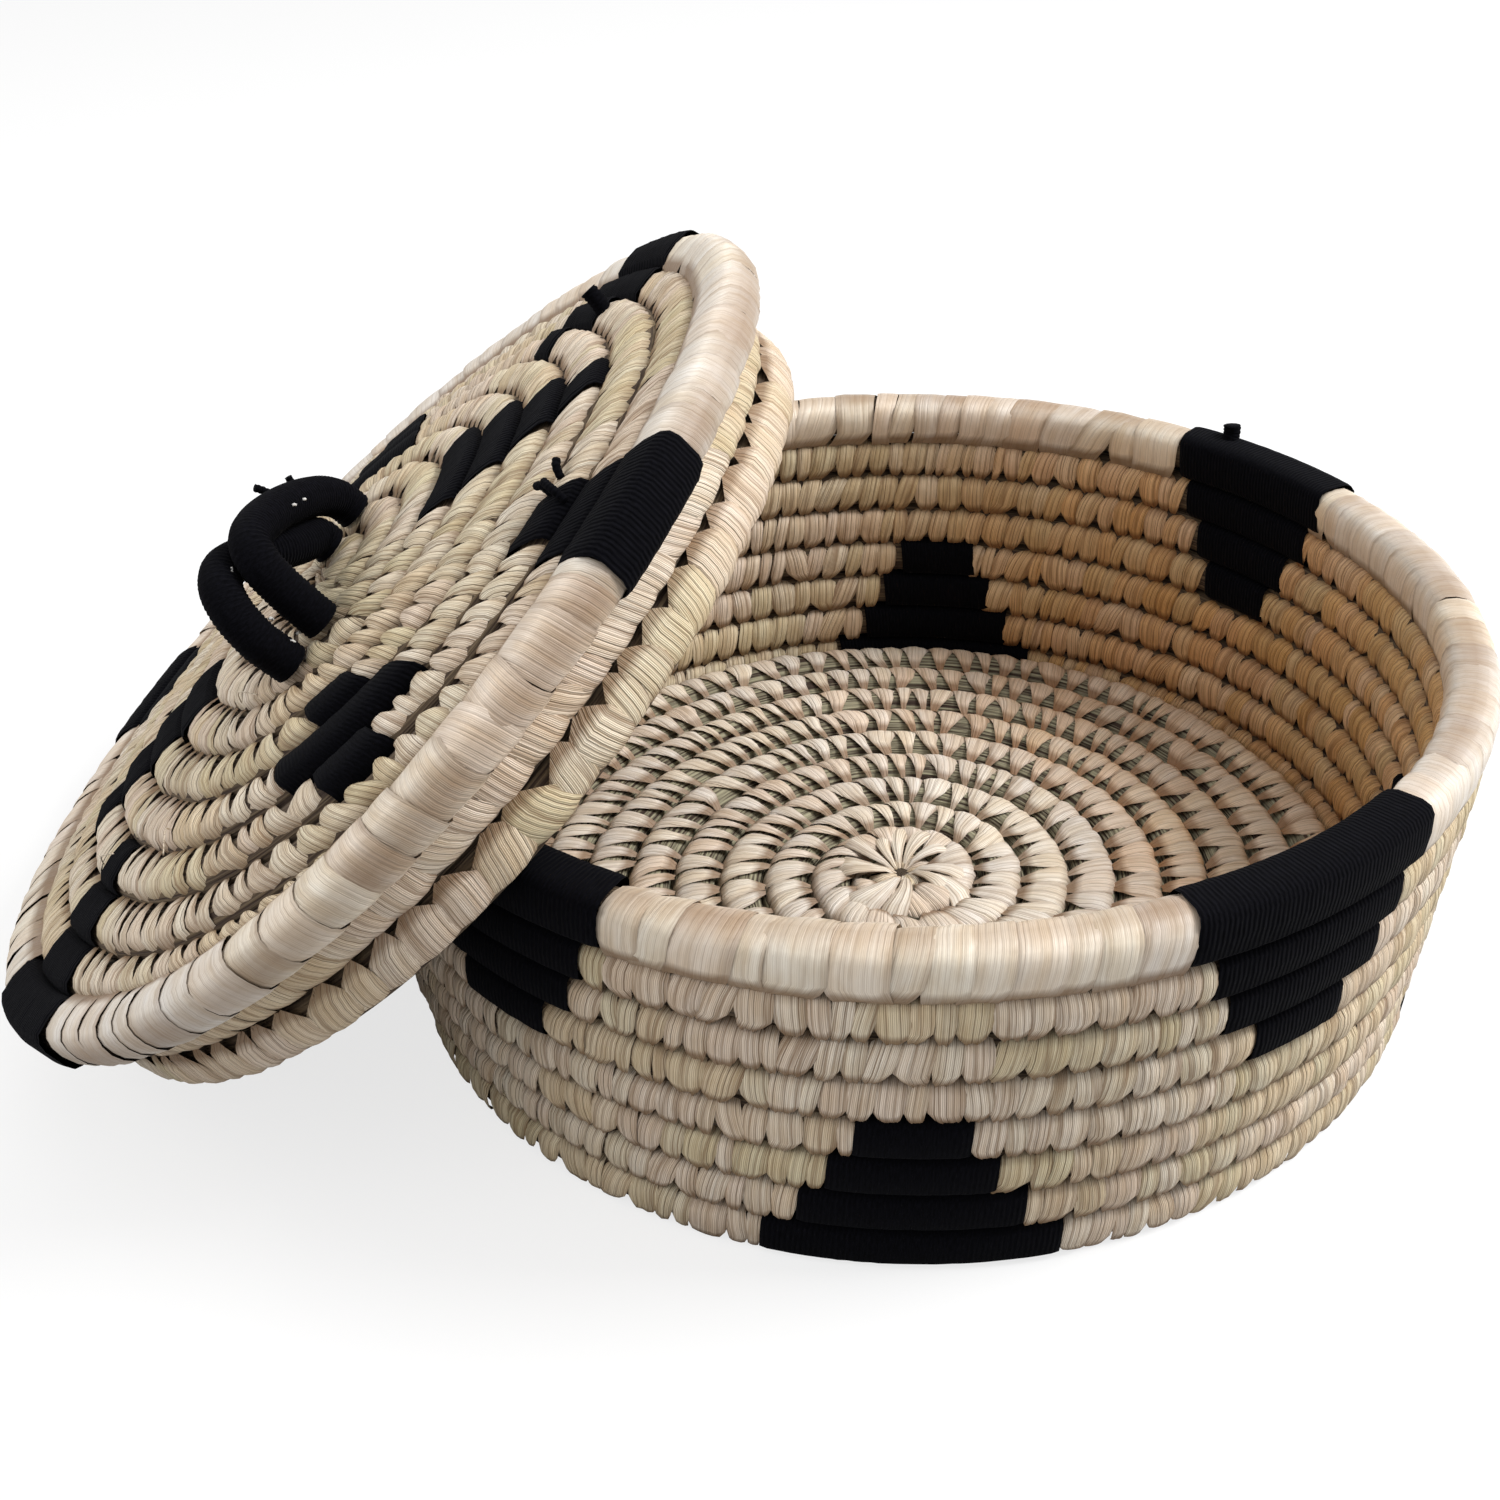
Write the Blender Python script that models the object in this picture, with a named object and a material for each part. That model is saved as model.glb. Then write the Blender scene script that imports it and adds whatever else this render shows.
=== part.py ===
"""Coiled palm-leaf bread basket with its lid taken off and leant on the rim.

Every course is a closed tube swept round an axis: a floor spiral, a wall that climbs course by
course, a thicker rim, and a lid made the same way. Black yarn is sewn over some of the courses in
stepped patches. Metres, +Z up, origin at the middle of the basket's underside.
"""
from collections import namedtuple

import bpy
import bmesh
from math import atan2, cos, pi, radians, sin, sqrt
from mathutils import Euler, Matrix, Vector
from mathutils.bvhtree import BVHTree
from mathutils.kdtree import KDTree

# Courses in general
course_gap = 0.00098          # clear space between two courses that lie side by side
seat_gap = 0.0003             # clear space between pieces that rest on each other
yarn_clearance = 0.0003       # from a course to the yarn sewn round it
yarn_thickness = 0.00036      # wall of the yarn round a course
loop_stations = 24            # sections swept in one turn
gap_samples = 4               # points along a facet when a coil's own gap is measured
course_sides = 6              # sides of a course's section
tail_reach_share = 0.7        # part of a climb that a tapered end runs into
short_tail_share = 0.4        # the same where the climb is a single step

# Floor and crown, the flat spirals
spiral_course_width = 0.0112
spiral_course_height = 0.0101
spiral_start_radius = 0.0085  # least radius of the first turn
floor_lift = 0.0006           # the floor's courses lie this much above the ground
floor_climb = (9, 9)          # station where a turn begins to move outward, and stations it takes
crown_climb = (15, 5)

# Basket wall
wall_courses = 7
wall_course_width = 0.0106
wall_course_height = 0.0101
wall_base_radius = 0.1239     # middle of the lowest course
wall_flare = 0.0057           # the highest course is this much wider in radius than the lowest
wall_climb = (13, 1)

# Basket rim
rim_overhang = 0.0004         # the rim's radius is this much more than the highest course's
rim_thickness = 0.0118
rim_oval = 0.0020             # the mouth is this much wider across than its mean radius

# Lid
lid_rim_radius = 0.1188
lid_rim_thickness = 0.0120
lid_twist = 0.0022            # the edge rises and falls twice round the lid
lid_twist_place = radians(17)
lid_wave = 0.0008             # and three times round it
lid_wave_place = radians(34)
crown_edge_lift = 0.0008      # height of the crown's outermost course above the rim's middle
crown_rise = 0.0115           # height of the middle of the crown above its outermost course
ring_courses = 3
ring_course_width = 0.0108
ring_course_height = 0.0066
ring_radius = 0.1098
ring_climb = (6, 1)

# Lid's resting place: it leans on the basket's rim with the edge of its ring on the ground
lid_lean = radians(39.8)
lid_heading = radians(4.2)
lid_reach_shares = (0.6, 1.8)  # search range for the lid's distance, in rim radii
lid_reach_steps = 32
sample_spacing = 0.004

# Yarn patches: the angle of the middle in degrees, and the half width along each course that a
# patch covers. Upper patches start on the basket's rim and go down, lower patches end on the
# lowest course, outer patches start on the lid's rim, and inner patches lie within the crown
upper_patches = {
    "front_right": (-53, (0.0310, 0.0250, 0.0205, 0.0120)),
    "back_right": (39, (0.0255, 0.0217, 0.0160, 0.0110)),
    "back_left": (134, (0.0310, 0.0250, 0.0205, 0.0120)),
    "front_left": (229, (0.0310, 0.0250, 0.0205, 0.0120)),
}
lower_patches = {
    "front": (-90, (0.0115, 0.0170, 0.0230, 0.0310)),
    "right": (-8, (0.0115, 0.0170, 0.0230, 0.0310)),
    "back": (84, (0.0115, 0.0170, 0.0230, 0.0310)),
    "left": (178, (0.0115, 0.0170, 0.0230, 0.0310)),
}
outer_patches = {
    "near": (-39, (0.0155, 0.0120, 0.0078)),
    "far": (36, (0.0165, 0.0172, 0.0120, 0.0055)),
    "high": (146, (0.0165, 0.0135, 0.0100)),
    "low": (218, (0.0215, 0.0130, 0.0105, 0.0060)),
}
inner_patches = {
    "front": (-78, (0.0082, 0.0185, 0.0070)),
    "right": (-5, (0.0065, 0.0110, 0.0150, 0.0170)),
    "back": (85, (0.0080, 0.0120, 0.0160)),
    "left": (188, (0.0060, 0.0091, 0.0115, 0.0130)),
}
inner_patch_first_course = 2  # counted inwards from the crown's outermost course

# Handle: two cords sewn side by side. A route's points are across, along and above the crown
handle_cord_radius = 0.0043
handle_points = 26
handle_routes = {
    "handle_cord_high": ((0.0098, -0.0352, 0.0000), (0.0098, -0.0355, 0.0060),
                         (0.0098, -0.0352, 0.0120), (0.0098, -0.0338, 0.0180),
                         (0.0098, -0.0300, 0.0214), (0.0098, -0.0230, 0.0216),
                         (0.0098, -0.0111, 0.0188), (0.0098, 0.0020, 0.0142),
                         (0.0098, 0.0120, 0.0095), (0.0098, 0.0172, 0.0048),
                         (0.0098, 0.0180, 0.0000)),
    "handle_cord_low": ((0.0005, -0.0425, 0.0000), (0.0005, -0.0432, 0.0045),
                        (0.0005, -0.0438, 0.0085), (0.0005, -0.0430, 0.0130),
                        (0.0005, -0.0411, 0.0172), (0.0006, -0.0370, 0.0208),
                        (0.0008, -0.0298, 0.0214), (0.0010, -0.0190, 0.0172),
                        (0.0026, -0.0105, 0.0118), (0.0034, -0.0020, 0.0074),
                        (0.0036, 0.0062, 0.0040), (0.0036, 0.0075, 0.0000)),
}

# Start knots
knot_facets = 16
knot_bevel_share = 0.45
knot_bevel_segments = 2

sharp_angle = radians(35)     # edges turned by more than this stay sharp

# Sizes worked out from the ones above
wall_top_radius = wall_base_radius + wall_flare
rim_radius = wall_top_radius + rim_overhang
yarn_growth = yarn_clearance + yarn_thickness
spiral_pitch = spiral_course_width + course_gap
wall_pitch = wall_course_height + course_gap
ring_pitch = ring_course_height + course_gap
wall_first_height = yarn_growth + wall_course_height / 2
wall_last_height = wall_first_height + (wall_courses - 1) * wall_pitch
rim_height = wall_last_height + wall_course_height / 2 + course_gap + rim_thickness / 2
floor_outer_radius = (wall_base_radius - wall_course_width / 2 - course_gap
                      - spiral_course_width / 2)
crown_outer_radius = (lid_rim_radius - lid_rim_thickness / 2 - course_gap
                      - spiral_course_width / 2)
ring_first_height = (crown_edge_lift - spiral_course_height / 2 - course_gap
                     - ring_course_height / 2)

station_angle = 2 * pi / loop_stations

# A course or coil: its stations, the outline of its section and where its turns climb
Coil = namedtuple("Coil", "stations outline climb")


def spiral_turns(outer_radius):
    """How many turns a flat spiral has when its last one is at the given radius."""
    return int((outer_radius - spiral_start_radius) / spiral_pitch) + 1


def spiral_first_radius(outer_radius):
    return outer_radius - (spiral_turns(outer_radius) - 1) * spiral_pitch


def lid_warp(angle, radius):
    """How far the handmade lid is out of flat at a place."""
    twist = lid_twist * cos(2 * (angle + lid_twist_place))
    wave = lid_wave * cos(3 * (angle + lid_wave_place))
    return (twist + wave) * (radius / lid_rim_radius) ** 2


def crown_height(angle, radius):
    """Height of the middle of a crown course above the middle of the lid's rim."""
    dome = crown_rise * (1 - (radius / crown_outer_radius) ** 2)
    return crown_edge_lift + dome + lid_warp(angle, radius)


def oval_offset(angle, height):
    """The wall grows from round at the floor to slightly oval at the rim."""
    return rim_oval * cos(2 * angle) * height / rim_height


# Course paths. A station is (angle, radius, height, width of the section, height of the section)

def tail_steps(climb_stations):
    """How far into a climb each section of a tapered end lies, from 0 to 1."""
    count = int(climb_stations * tail_reach_share)
    return [step / climb_stations for step in range(1, count + 1)] or [short_tail_share]


def course_levels(turns, climb):
    """Angles along a coil: its tapered start, its full turns and its tapered end.

    A turn is level, and moves up or out to the next one within the climb. The tapered ends fill
    the space that the climb leaves beside the first turn and the last one. Each place on a full
    turn is (angle, turn), and each place on a tapered end is (angle, part of the climb).
    """
    climb_from, climb_stations = climb
    first = climb_from + climb_stations
    level_stations = loop_stations - climb_stations
    total = turns * loop_stations - climb_stations
    body = []
    for index in range(total + 1):
        turn, step = divmod(index, loop_stations)
        climbed = max(0, step - level_stations) / climb_stations
        body.append(((first + index) * station_angle, turn + climbed))
    steps = tail_steps(climb_stations)
    head = [((first - part * climb_stations) * station_angle, part) for part in reversed(steps)]
    tail = [((first + total + part * climb_stations) * station_angle, part) for part in steps]
    return head, body, tail


def tapered(part, size, pitch):
    """Size that is left for a tapered end at the given part of the climb."""
    return pitch * (1 - part) - (pitch - size)


def spiral_coil(outer_radius, climb, height_at):
    """A flat spiral. height_at gives a section's middle from its angle, radius and height."""
    turns = spiral_turns(outer_radius)
    first_radius = spiral_first_radius(outer_radius)
    head, body, tail = course_levels(turns, climb)
    full = spiral_course_width
    stations = []
    for angle, part in head:
        width = tapered(part, full, spiral_pitch)
        height = spiral_course_height * sqrt(width / full)
        radius = first_radius - full / 2 + width / 2
        stations.append((angle, radius, height_at(angle, radius, height), width, height))
    for angle, turn in body:
        radius = first_radius + turn * spiral_pitch
        height = spiral_course_height
        stations.append((angle, radius, height_at(angle, radius, height), full, height))
    for angle, part in tail:
        width = tapered(part, full, spiral_pitch)
        height = spiral_course_height * sqrt(width / full)
        radius = outer_radius + full / 2 - width / 2
        stations.append((angle, radius, height_at(angle, radius, height), width, height))
    return Coil(stations, section_outline(flat_at_side=True), climb)


def floor_section_height(angle, radius, height):
    """The floor's courses lie level, a little above the knot's underside."""
    return floor_lift + height / 2


def crown_section_height(angle, radius, height):
    return crown_height(angle, radius)


def stack_coil(turns, climb, width, full, pitch, first_height, direction, place_at):
    """A coil whose turns lie one above the other, or below with direction -1."""
    head, body, tail = course_levels(turns, climb)
    stations = []
    for angle, part in head:
        height = tapered(part, full, pitch)
        middle = first_height - direction * (full - height) / 2
        stations.append((angle, *place_at(angle, middle), width * sqrt(height / full), height))
    for angle, turn in body:
        middle = first_height + direction * turn * pitch
        stations.append((angle, *place_at(angle, middle), width, full))
    for angle, part in tail:
        height = tapered(part, full, pitch)
        middle = first_height + direction * ((turns - 1) * pitch + (full - height) / 2)
        stations.append((angle, *place_at(angle, middle), width * sqrt(height / full), height))
    return Coil(stations, section_outline(flat_at_side=False), climb)


def wall_place(angle, height):
    """Radius and height of the wall. It leans out as it rises."""
    rise_share = (height - wall_first_height) / (wall_last_height - wall_first_height)
    radius = wall_base_radius + (wall_top_radius - wall_base_radius) * rise_share
    return radius + oval_offset(angle, height), height


def rim_place(angle, height):
    return rim_radius + oval_offset(angle, height), height


def lid_rim_place(angle, height):
    return lid_rim_radius, height + lid_warp(angle, lid_rim_radius)


def ring_place(angle, height):
    return ring_radius, height + lid_warp(angle, ring_radius)


def closed_course(place_at, height, thickness):
    """One course that closes on itself. Its stations go three times round, once for the course
    and once on each side, so that a patch may cross the place where it starts."""
    stations = []
    for index in range(-loop_stations, 2 * loop_stations + 1):
        angle = index * station_angle
        stations.append((angle, *place_at(angle, height), thickness, thickness))
    return Coil(stations, section_outline(flat_at_side=False), (0, 0))


# Sections and sweeps

def section_outline(flat_at_side):
    """Corners of a section of width and height 2, with its flats at the sides or above and below."""
    turn = 2 * pi / course_sides
    start = turn / 2 if flat_at_side else turn / 2 - pi / 2
    corners = [Vector((cos(start + k * turn), sin(start + k * turn))) for k in range(course_sides)]
    widest = max(corner.x for corner in corners)
    highest = max(corner.y for corner in corners)
    return [Vector((corner.x / widest, corner.y / highest)) for corner in corners]


def section_points(station, outline, growth=0):
    """Corners of a station's section, all of them in the half plane at its angle."""
    angle, radius, height, width, depth = station
    points = []
    for corner in outline:
        reach = radius + corner.x * (width / 2 + growth)
        level = height + corner.y * (depth / 2 + growth)
        points.append(Vector((reach * cos(angle), reach * sin(angle), level)))
    return points


def points_between(coil, angle, growth):
    """Corners of the section where a swept course crosses an angle between two stations."""
    for before, after in zip(coil.stations, coil.stations[1:]):
        if before[0] <= angle <= after[0]:
            near = before[1] * sin(angle - before[0])
            far = after[1] * sin(after[0] - angle)
            share = near / (near + far)
            pairs = zip(section_points(before, coil.outline, growth),
                        section_points(after, coil.outline, growth))
            return [first.lerp(second, share) for first, second in pairs]
    raise ValueError("the angle lies outside the course")


def add_ring(shape, points):
    return [shape.verts.new(point) for point in points]


def join_rings(shape, first, second):
    """Skin between two sections, with its faces pointing away from the course's middle."""
    for index in range(len(first)):
        following = (index + 1) % len(first)
        shape.faces.new((first[index], first[following], second[following], second[index]))


def sweep_mesh(name, coil, closed=False):
    """One unbroken tube through the stations' sections."""
    shape = bmesh.new()
    used = coil.stations[loop_stations:2 * loop_stations] if closed else coil.stations
    rings = [add_ring(shape, section_points(station, coil.outline)) for station in used]
    for first, second in zip(rings, rings[1:]):
        join_rings(shape, first, second)
    if closed:
        join_rings(shape, rings[-1], rings[0])
    else:
        shape.faces.new(rings[0])
        shape.faces.new(list(reversed(rings[-1])))
    return finished_mesh(name, shape)


def sleeve_mesh(name, coil, middle_angle, half_width):
    """Yarn round one course: a short tube with a bore, as long as the patch is wide there."""
    middle = min(coil.stations, key=lambda station: abs(station[0] - middle_angle))
    reach = half_width / middle[1]
    low, high = middle_angle - reach, middle_angle + reach
    angles = [low] + [station[0] for station in coil.stations if low < station[0] < high] + [high]
    shape = bmesh.new()
    outside = [add_ring(shape, points_between(coil, angle, yarn_growth)) for angle in angles]
    inside = [add_ring(shape, points_between(coil, angle, yarn_clearance)) for angle in angles]
    for index in range(len(angles) - 1):
        join_rings(shape, outside[index], outside[index + 1])
        join_rings(shape, inside[index + 1], inside[index])
    join_rings(shape, inside[0], outside[0])
    join_rings(shape, outside[-1], inside[-1])
    return finished_mesh(name, shape)


def finished_mesh(name, shape):
    bmesh.ops.recalc_face_normals(shape, faces=shape.faces)
    mesh = bpy.data.meshes.new(name)
    shape.to_mesh(mesh)
    shape.free()
    return mesh


# Objects and materials

def finish(name, colour, roughness):
    material = bpy.data.materials.new(name)
    material.use_nodes = True
    shader = material.node_tree.nodes["Principled BSDF"]
    shader.inputs["Base Color"].default_value = (*colour, 1)
    shader.inputs["Roughness"].default_value = roughness
    shader.inputs["Metallic"].default_value = 0
    material.diffuse_color = (*colour, 1)
    return material


def place(name, mesh, material, parent):
    piece = bpy.data.objects.new(name, mesh)
    bpy.context.scene.collection.objects.link(piece)
    mesh.materials.append(material)
    mesh.shade_smooth()
    mesh.set_sharp_from_angle(angle=sharp_angle)
    piece.parent = parent
    return piece


def fused(name, meshes, material, parent):
    """One body from meshes that overlap where the yarn passes from course to course."""
    piece = place(name, meshes[0], material, parent)
    others = bpy.data.collections.new(name + "_courses")
    bpy.context.scene.collection.children.link(others)
    helpers = [bpy.data.objects.new(name + "_course", mesh) for mesh in meshes[1:]]
    for helper in helpers:
        others.objects.link(helper)
        helper.parent = parent
    join = piece.modifiers.new("courses", "BOOLEAN")
    join.operation = "UNION"
    join.solver = "EXACT"
    join.operand_type = "COLLECTION"
    join.collection = others
    bpy.context.view_layer.update()
    evaluated = piece.evaluated_get(bpy.context.evaluated_depsgraph_get())
    whole = bpy.data.meshes.new_from_object(evaluated)
    piece.modifiers.clear()
    piece.data = whole
    for helper in helpers:
        bpy.data.objects.remove(helper)
    bpy.data.collections.remove(others)
    whole.materials.clear()
    whole.materials.append(material)
    return piece


# Sub-parts

def start_knot(name, outer_radius, middle_height, material, parent):
    """The round start of a spiral, flat below and eased above."""
    radius = spiral_first_radius(outer_radius) - spiral_course_width / 2 - seat_gap
    shape = bmesh.new()
    bmesh.ops.create_cone(shape, cap_ends=True, segments=knot_facets, radius1=radius, radius2=radius,
                          depth=spiral_course_height)
    top = [edge for edge in shape.edges if all(vert.co.z > 0 for vert in edge.verts)]
    bmesh.ops.bevel(shape, geom=top, offset=radius * knot_bevel_share, segments=knot_bevel_segments,
                    affect="EDGES", profile=0.5, material=-1)
    bmesh.ops.translate(shape, verts=shape.verts, vec=(0, 0, middle_height))
    return place(name, finished_mesh(name, shape), material, parent)


def angle_on_turn(place_degrees, coil, turn):
    """The place's angle as it is counted along the coil on a given turn."""
    turn_start = sum(coil.climb) * station_angle + turn * 2 * pi
    return turn_start + (radians(place_degrees) - turn_start) % (2 * pi)


def patch(name, place_degrees, courses, half_widths, material, parent):
    """A stepped patch of yarn over several courses, each given as its coil and its turn."""
    sleeves = []
    for (coil, turn), half_width in zip(courses, half_widths):
        angle = angle_on_turn(place_degrees, coil, turn)
        sleeves.append(sleeve_mesh(name, coil, angle, half_width))
    return fused(name, sleeves, material, parent)


def smooth_route(corners, count):
    """Points along a smooth curve through a route's own points."""
    padded = [corners[0]] + list(corners) + [corners[-1]]
    points = []
    spans = len(corners) - 1
    for index in range(count):
        place_on_route = index * spans / (count - 1)
        span = min(int(place_on_route), spans - 1)
        t = place_on_route - span
        a, b, c, d = (Vector(padded[span + k]) for k in range(4))
        points.append(b + (c - a) * t / 2 + (2 * a - 5 * b + 4 * c - d) * t * t / 2
                      + (3 * b - a - 3 * c + d) * t * t * t / 2)
    return points


def above_crown(point):
    """The place of a handle's point, which is measured from the top of the crown's yarn."""
    angle, radius = atan2(point.y, point.x), Vector(point[:2]).length
    seat = crown_height(angle, radius) + spiral_course_height / 2 + yarn_growth + seat_gap
    return Vector((point.x, point.y, point.z + seat))


def handle_cord(name, route, material, parent):
    """One yarn-wrapped cord, from its foot on the lid over to the other foot."""
    curve = bpy.data.curves.new(name, "CURVE")
    curve.dimensions = "3D"
    curve.bevel_depth = handle_cord_radius
    curve.bevel_resolution = 2
    curve.use_fill_caps = True
    spline = curve.splines.new("POLY")
    points = smooth_route(route, handle_points)
    spline.points.add(len(points) - 1)
    for target, point in zip(spline.points, points):
        target.co = (*above_crown(point), 1)
    curve.materials.append(material)
    piece = bpy.data.objects.new(name, curve)
    bpy.context.scene.collection.objects.link(piece)
    piece.parent = parent
    return piece


# Resting the lid

def edge_samples(mesh):
    """Points along every edge of a mesh, no further apart than the sample spacing."""
    points = []
    for edge in mesh.edges:
        first, second = (mesh.vertices[index].co for index in edge.vertices)
        count = max(1, int((second - first).length / sample_spacing))
        points.extend(first.lerp(second, step / count) for step in range(count))
    return points


def surface_tree(pieces, pose):
    """The surfaces of some pieces, moved by a pose, for distance and crossing tests."""
    points, faces = [], []
    for piece in pieces:
        start = len(points)
        points.extend(pose @ vert.co for vert in piece.data.vertices)
        faces.extend([start + index for index in face.vertices] for face in piece.data.polygons)
    return BVHTree.FromPolygons(points, faces)


def stands_clear(basket_tree, lid_pieces, samples, pose):
    """Whether the lid in this pose crosses nothing and keeps its gap to the basket."""
    if basket_tree.overlap(surface_tree(lid_pieces, pose)):
        return False
    return all(basket_tree.find_nearest(pose @ point)[3] >= seat_gap for point in samples)


def lid_matrix(reach, height):
    turn = Euler((0, -lid_lean, lid_heading)).to_matrix().to_4x4()
    place = Vector((-cos(lid_heading) * reach, -sin(lid_heading) * reach, height))
    return Matrix.Translation(place) @ turn


def rest_lid(lid_frame, lid_pieces, basket_pieces):
    """Lean the lid: its lowest point on the ground, and as near as the basket's rim lets it."""
    upright = lid_matrix(0, 0)
    height = -min((upright @ vert.co).z for piece in lid_pieces for vert in piece.data.vertices)
    samples = [point for piece in lid_pieces for point in edge_samples(piece.data)]
    basket_tree = surface_tree(basket_pieces, Matrix.Identity(4))
    near, far = (share * rim_radius for share in lid_reach_shares)
    for _ in range(lid_reach_steps):
        middle = (near + far) / 2
        if stands_clear(basket_tree, lid_pieces, samples, lid_matrix(middle, height)):
            far = middle
        else:
            near = middle
    lid_frame.location = lid_matrix(far, height).to_translation()
    lid_frame.rotation_euler = (0, -lid_lean, lid_heading)
    print("lid frame at", [round(value, 6) for value in lid_frame.location])


def print_least_gap(name, coil):
    """Measure how close a coil comes to itself, on points along its corners and faces."""
    points = []
    for before, after in zip(coil.stations, coil.stations[1:]):
        first, second = section_points(before, coil.outline), section_points(after, coil.outline)
        for step in range(gap_samples):
            share = step / gap_samples
            ring = [a.lerp(b, share) for a, b in zip(first, second)]
            angle = before[0] + (after[0] - before[0]) * share
            for a, b in zip(ring, ring[1:] + ring[:1]):
                points.extend((a.lerp(b, part / gap_samples), angle) for part in range(gap_samples))
    tree = KDTree(len(points))
    for index, (point, _) in enumerate(points):
        tree.insert(point, index)
    tree.balance()
    least = rim_radius
    for point, angle in points:
        for _, index, distance in tree.find_range(point, 2 * course_gap):
            if abs(points[index][1] - angle) > pi:
                least = min(least, distance)
    print(name, "comes within", round(least * 1000, 2), "mm of itself")


def build_basket(leaf, yarn):
    floor = spiral_coil(floor_outer_radius, floor_climb, floor_section_height)
    wall = stack_coil(wall_courses, wall_climb, wall_course_width, wall_course_height, wall_pitch,
                      wall_first_height, 1, wall_place)
    rim = closed_course(rim_place, rim_height, rim_thickness)
    start_knot("basket_floor_knot", floor_outer_radius, spiral_course_height / 2, leaf, None)
    place("basket_floor_coil", sweep_mesh("basket_floor_coil", floor), leaf, None)
    pieces = [place("basket_wall_coil", sweep_mesh("basket_wall_coil", wall), leaf, None),
              place("basket_rim_coil", sweep_mesh("basket_rim_coil", rim, closed=True), leaf, None)]
    print_least_gap("basket_floor_coil", floor)
    print_least_gap("basket_wall_coil", wall)
    top = wall_courses - 1
    for side, (degrees, half_widths) in upper_patches.items():
        courses = [(rim, 0)] + [(wall, top - k) for k in range(len(half_widths) - 1)]
        name = "basket_upper_patch_" + side
        pieces.append(patch(name, degrees, courses, half_widths, yarn, None))
    for side, (degrees, half_widths) in lower_patches.items():
        courses = [(wall, k) for k in reversed(range(len(half_widths)))]
        name = "basket_lower_patch_" + side
        pieces.append(patch(name, degrees, courses, half_widths, yarn, None))
    return pieces


def build_lid(leaf, yarn):
    """The lid in its own frame: its axis is Z, and 0 is the middle of its rim."""
    frame = bpy.data.objects.new("lid_frame", None)
    bpy.context.scene.collection.objects.link(frame)
    crown = spiral_coil(crown_outer_radius, crown_climb, crown_section_height)
    ring = stack_coil(ring_courses, ring_climb, ring_course_width, ring_course_height, ring_pitch,
                      ring_first_height, -1, ring_place)
    rim = closed_course(lid_rim_place, 0, lid_rim_thickness)
    resting = [place("lid_rim_coil", sweep_mesh("lid_rim_coil", rim, closed=True), leaf, frame),
               place("lid_ring_coil", sweep_mesh("lid_ring_coil", ring), leaf, frame)]
    start_knot("lid_start_knot", crown_outer_radius, crown_height(0, 0), leaf, frame)
    place("lid_crown_coil", sweep_mesh("lid_crown_coil", crown), leaf, frame)
    print_least_gap("lid_crown_coil", crown)
    print_least_gap("lid_ring_coil", ring)
    last = spiral_turns(crown_outer_radius) - 1
    first = last - inner_patch_first_course
    for side, (degrees, half_widths) in outer_patches.items():
        courses = [(rim, 0)] + [(crown, last - k) for k in range(len(half_widths) - 1)]
        name = "lid_outer_patch_" + side
        resting.append(patch(name, degrees, courses, half_widths, yarn, frame))
    for side, (degrees, half_widths) in inner_patches.items():
        courses = [(crown, first - k) for k in range(len(half_widths))]
        patch("lid_inner_patch_" + side, degrees, courses, half_widths, yarn, frame)
    for name, route in handle_routes.items():
        handle_cord(name, route, yarn, frame)
    return frame, resting


def main():
    for existing in list(bpy.data.objects):
        bpy.data.objects.remove(existing)
    leaf = finish("palm_leaf", (0.72, 0.60, 0.42), 0.62)
    yarn = finish("black_yarn", (0.008, 0.009, 0.014), 0.9)
    basket_pieces = build_basket(leaf, yarn)
    lid_frame, resting = build_lid(leaf, yarn)
    rest_lid(lid_frame, resting, basket_pieces)


main()
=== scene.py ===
"""Looks of the coiled palm-leaf bread basket and its lid: leaf wraps, grass bundles, black yarn.

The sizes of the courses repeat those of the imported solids, so that every wrap lies on its course.
Metres, +Z up, origin at the middle of the basket's underside.
"""
from collections import namedtuple
from math import pi, radians, sqrt

import bmesh
import bpy
import numpy as np
from mathutils import Euler, Matrix, Vector


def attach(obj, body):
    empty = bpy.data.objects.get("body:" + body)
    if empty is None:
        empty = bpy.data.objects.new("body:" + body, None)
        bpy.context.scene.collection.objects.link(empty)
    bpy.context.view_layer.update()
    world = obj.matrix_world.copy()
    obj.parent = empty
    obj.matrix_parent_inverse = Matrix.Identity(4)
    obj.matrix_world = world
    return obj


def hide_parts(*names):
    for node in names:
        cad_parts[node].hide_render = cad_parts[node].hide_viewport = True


bl_info = {
    "name": "Coiled bread basket",
    "version": (1, 0, 0),
    "blender": (4, 5, 0),
    "location": "3D View > Sidebar > Basket",
    "description": "Dresses a coiled basket and its lid with leaf wraps and black yarn",
    "category": "Add Mesh",
}

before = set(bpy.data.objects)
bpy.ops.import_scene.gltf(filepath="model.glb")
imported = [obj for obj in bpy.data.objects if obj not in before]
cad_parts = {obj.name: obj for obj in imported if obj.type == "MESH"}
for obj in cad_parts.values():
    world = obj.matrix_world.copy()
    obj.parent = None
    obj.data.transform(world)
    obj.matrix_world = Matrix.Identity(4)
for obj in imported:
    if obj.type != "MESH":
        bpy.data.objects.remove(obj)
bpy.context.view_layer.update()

# Courses of the basket, as in the solids
loop_stations = 24
station_angle = 2 * pi / loop_stations
course_gap = 0.00098
yarn_growth = 0.00066
spiral_width = 0.0112
spiral_height = 0.0101
spiral_start_radius = 0.0085
spiral_pitch = spiral_width + course_gap
floor_lift = 0.0006
floor_climb = (9, 9)
crown_climb = (15, 5)
wall_courses = 7
wall_width = 0.0106
wall_height = 0.0101
wall_pitch = wall_height + course_gap
wall_base_radius = 0.1239
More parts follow.
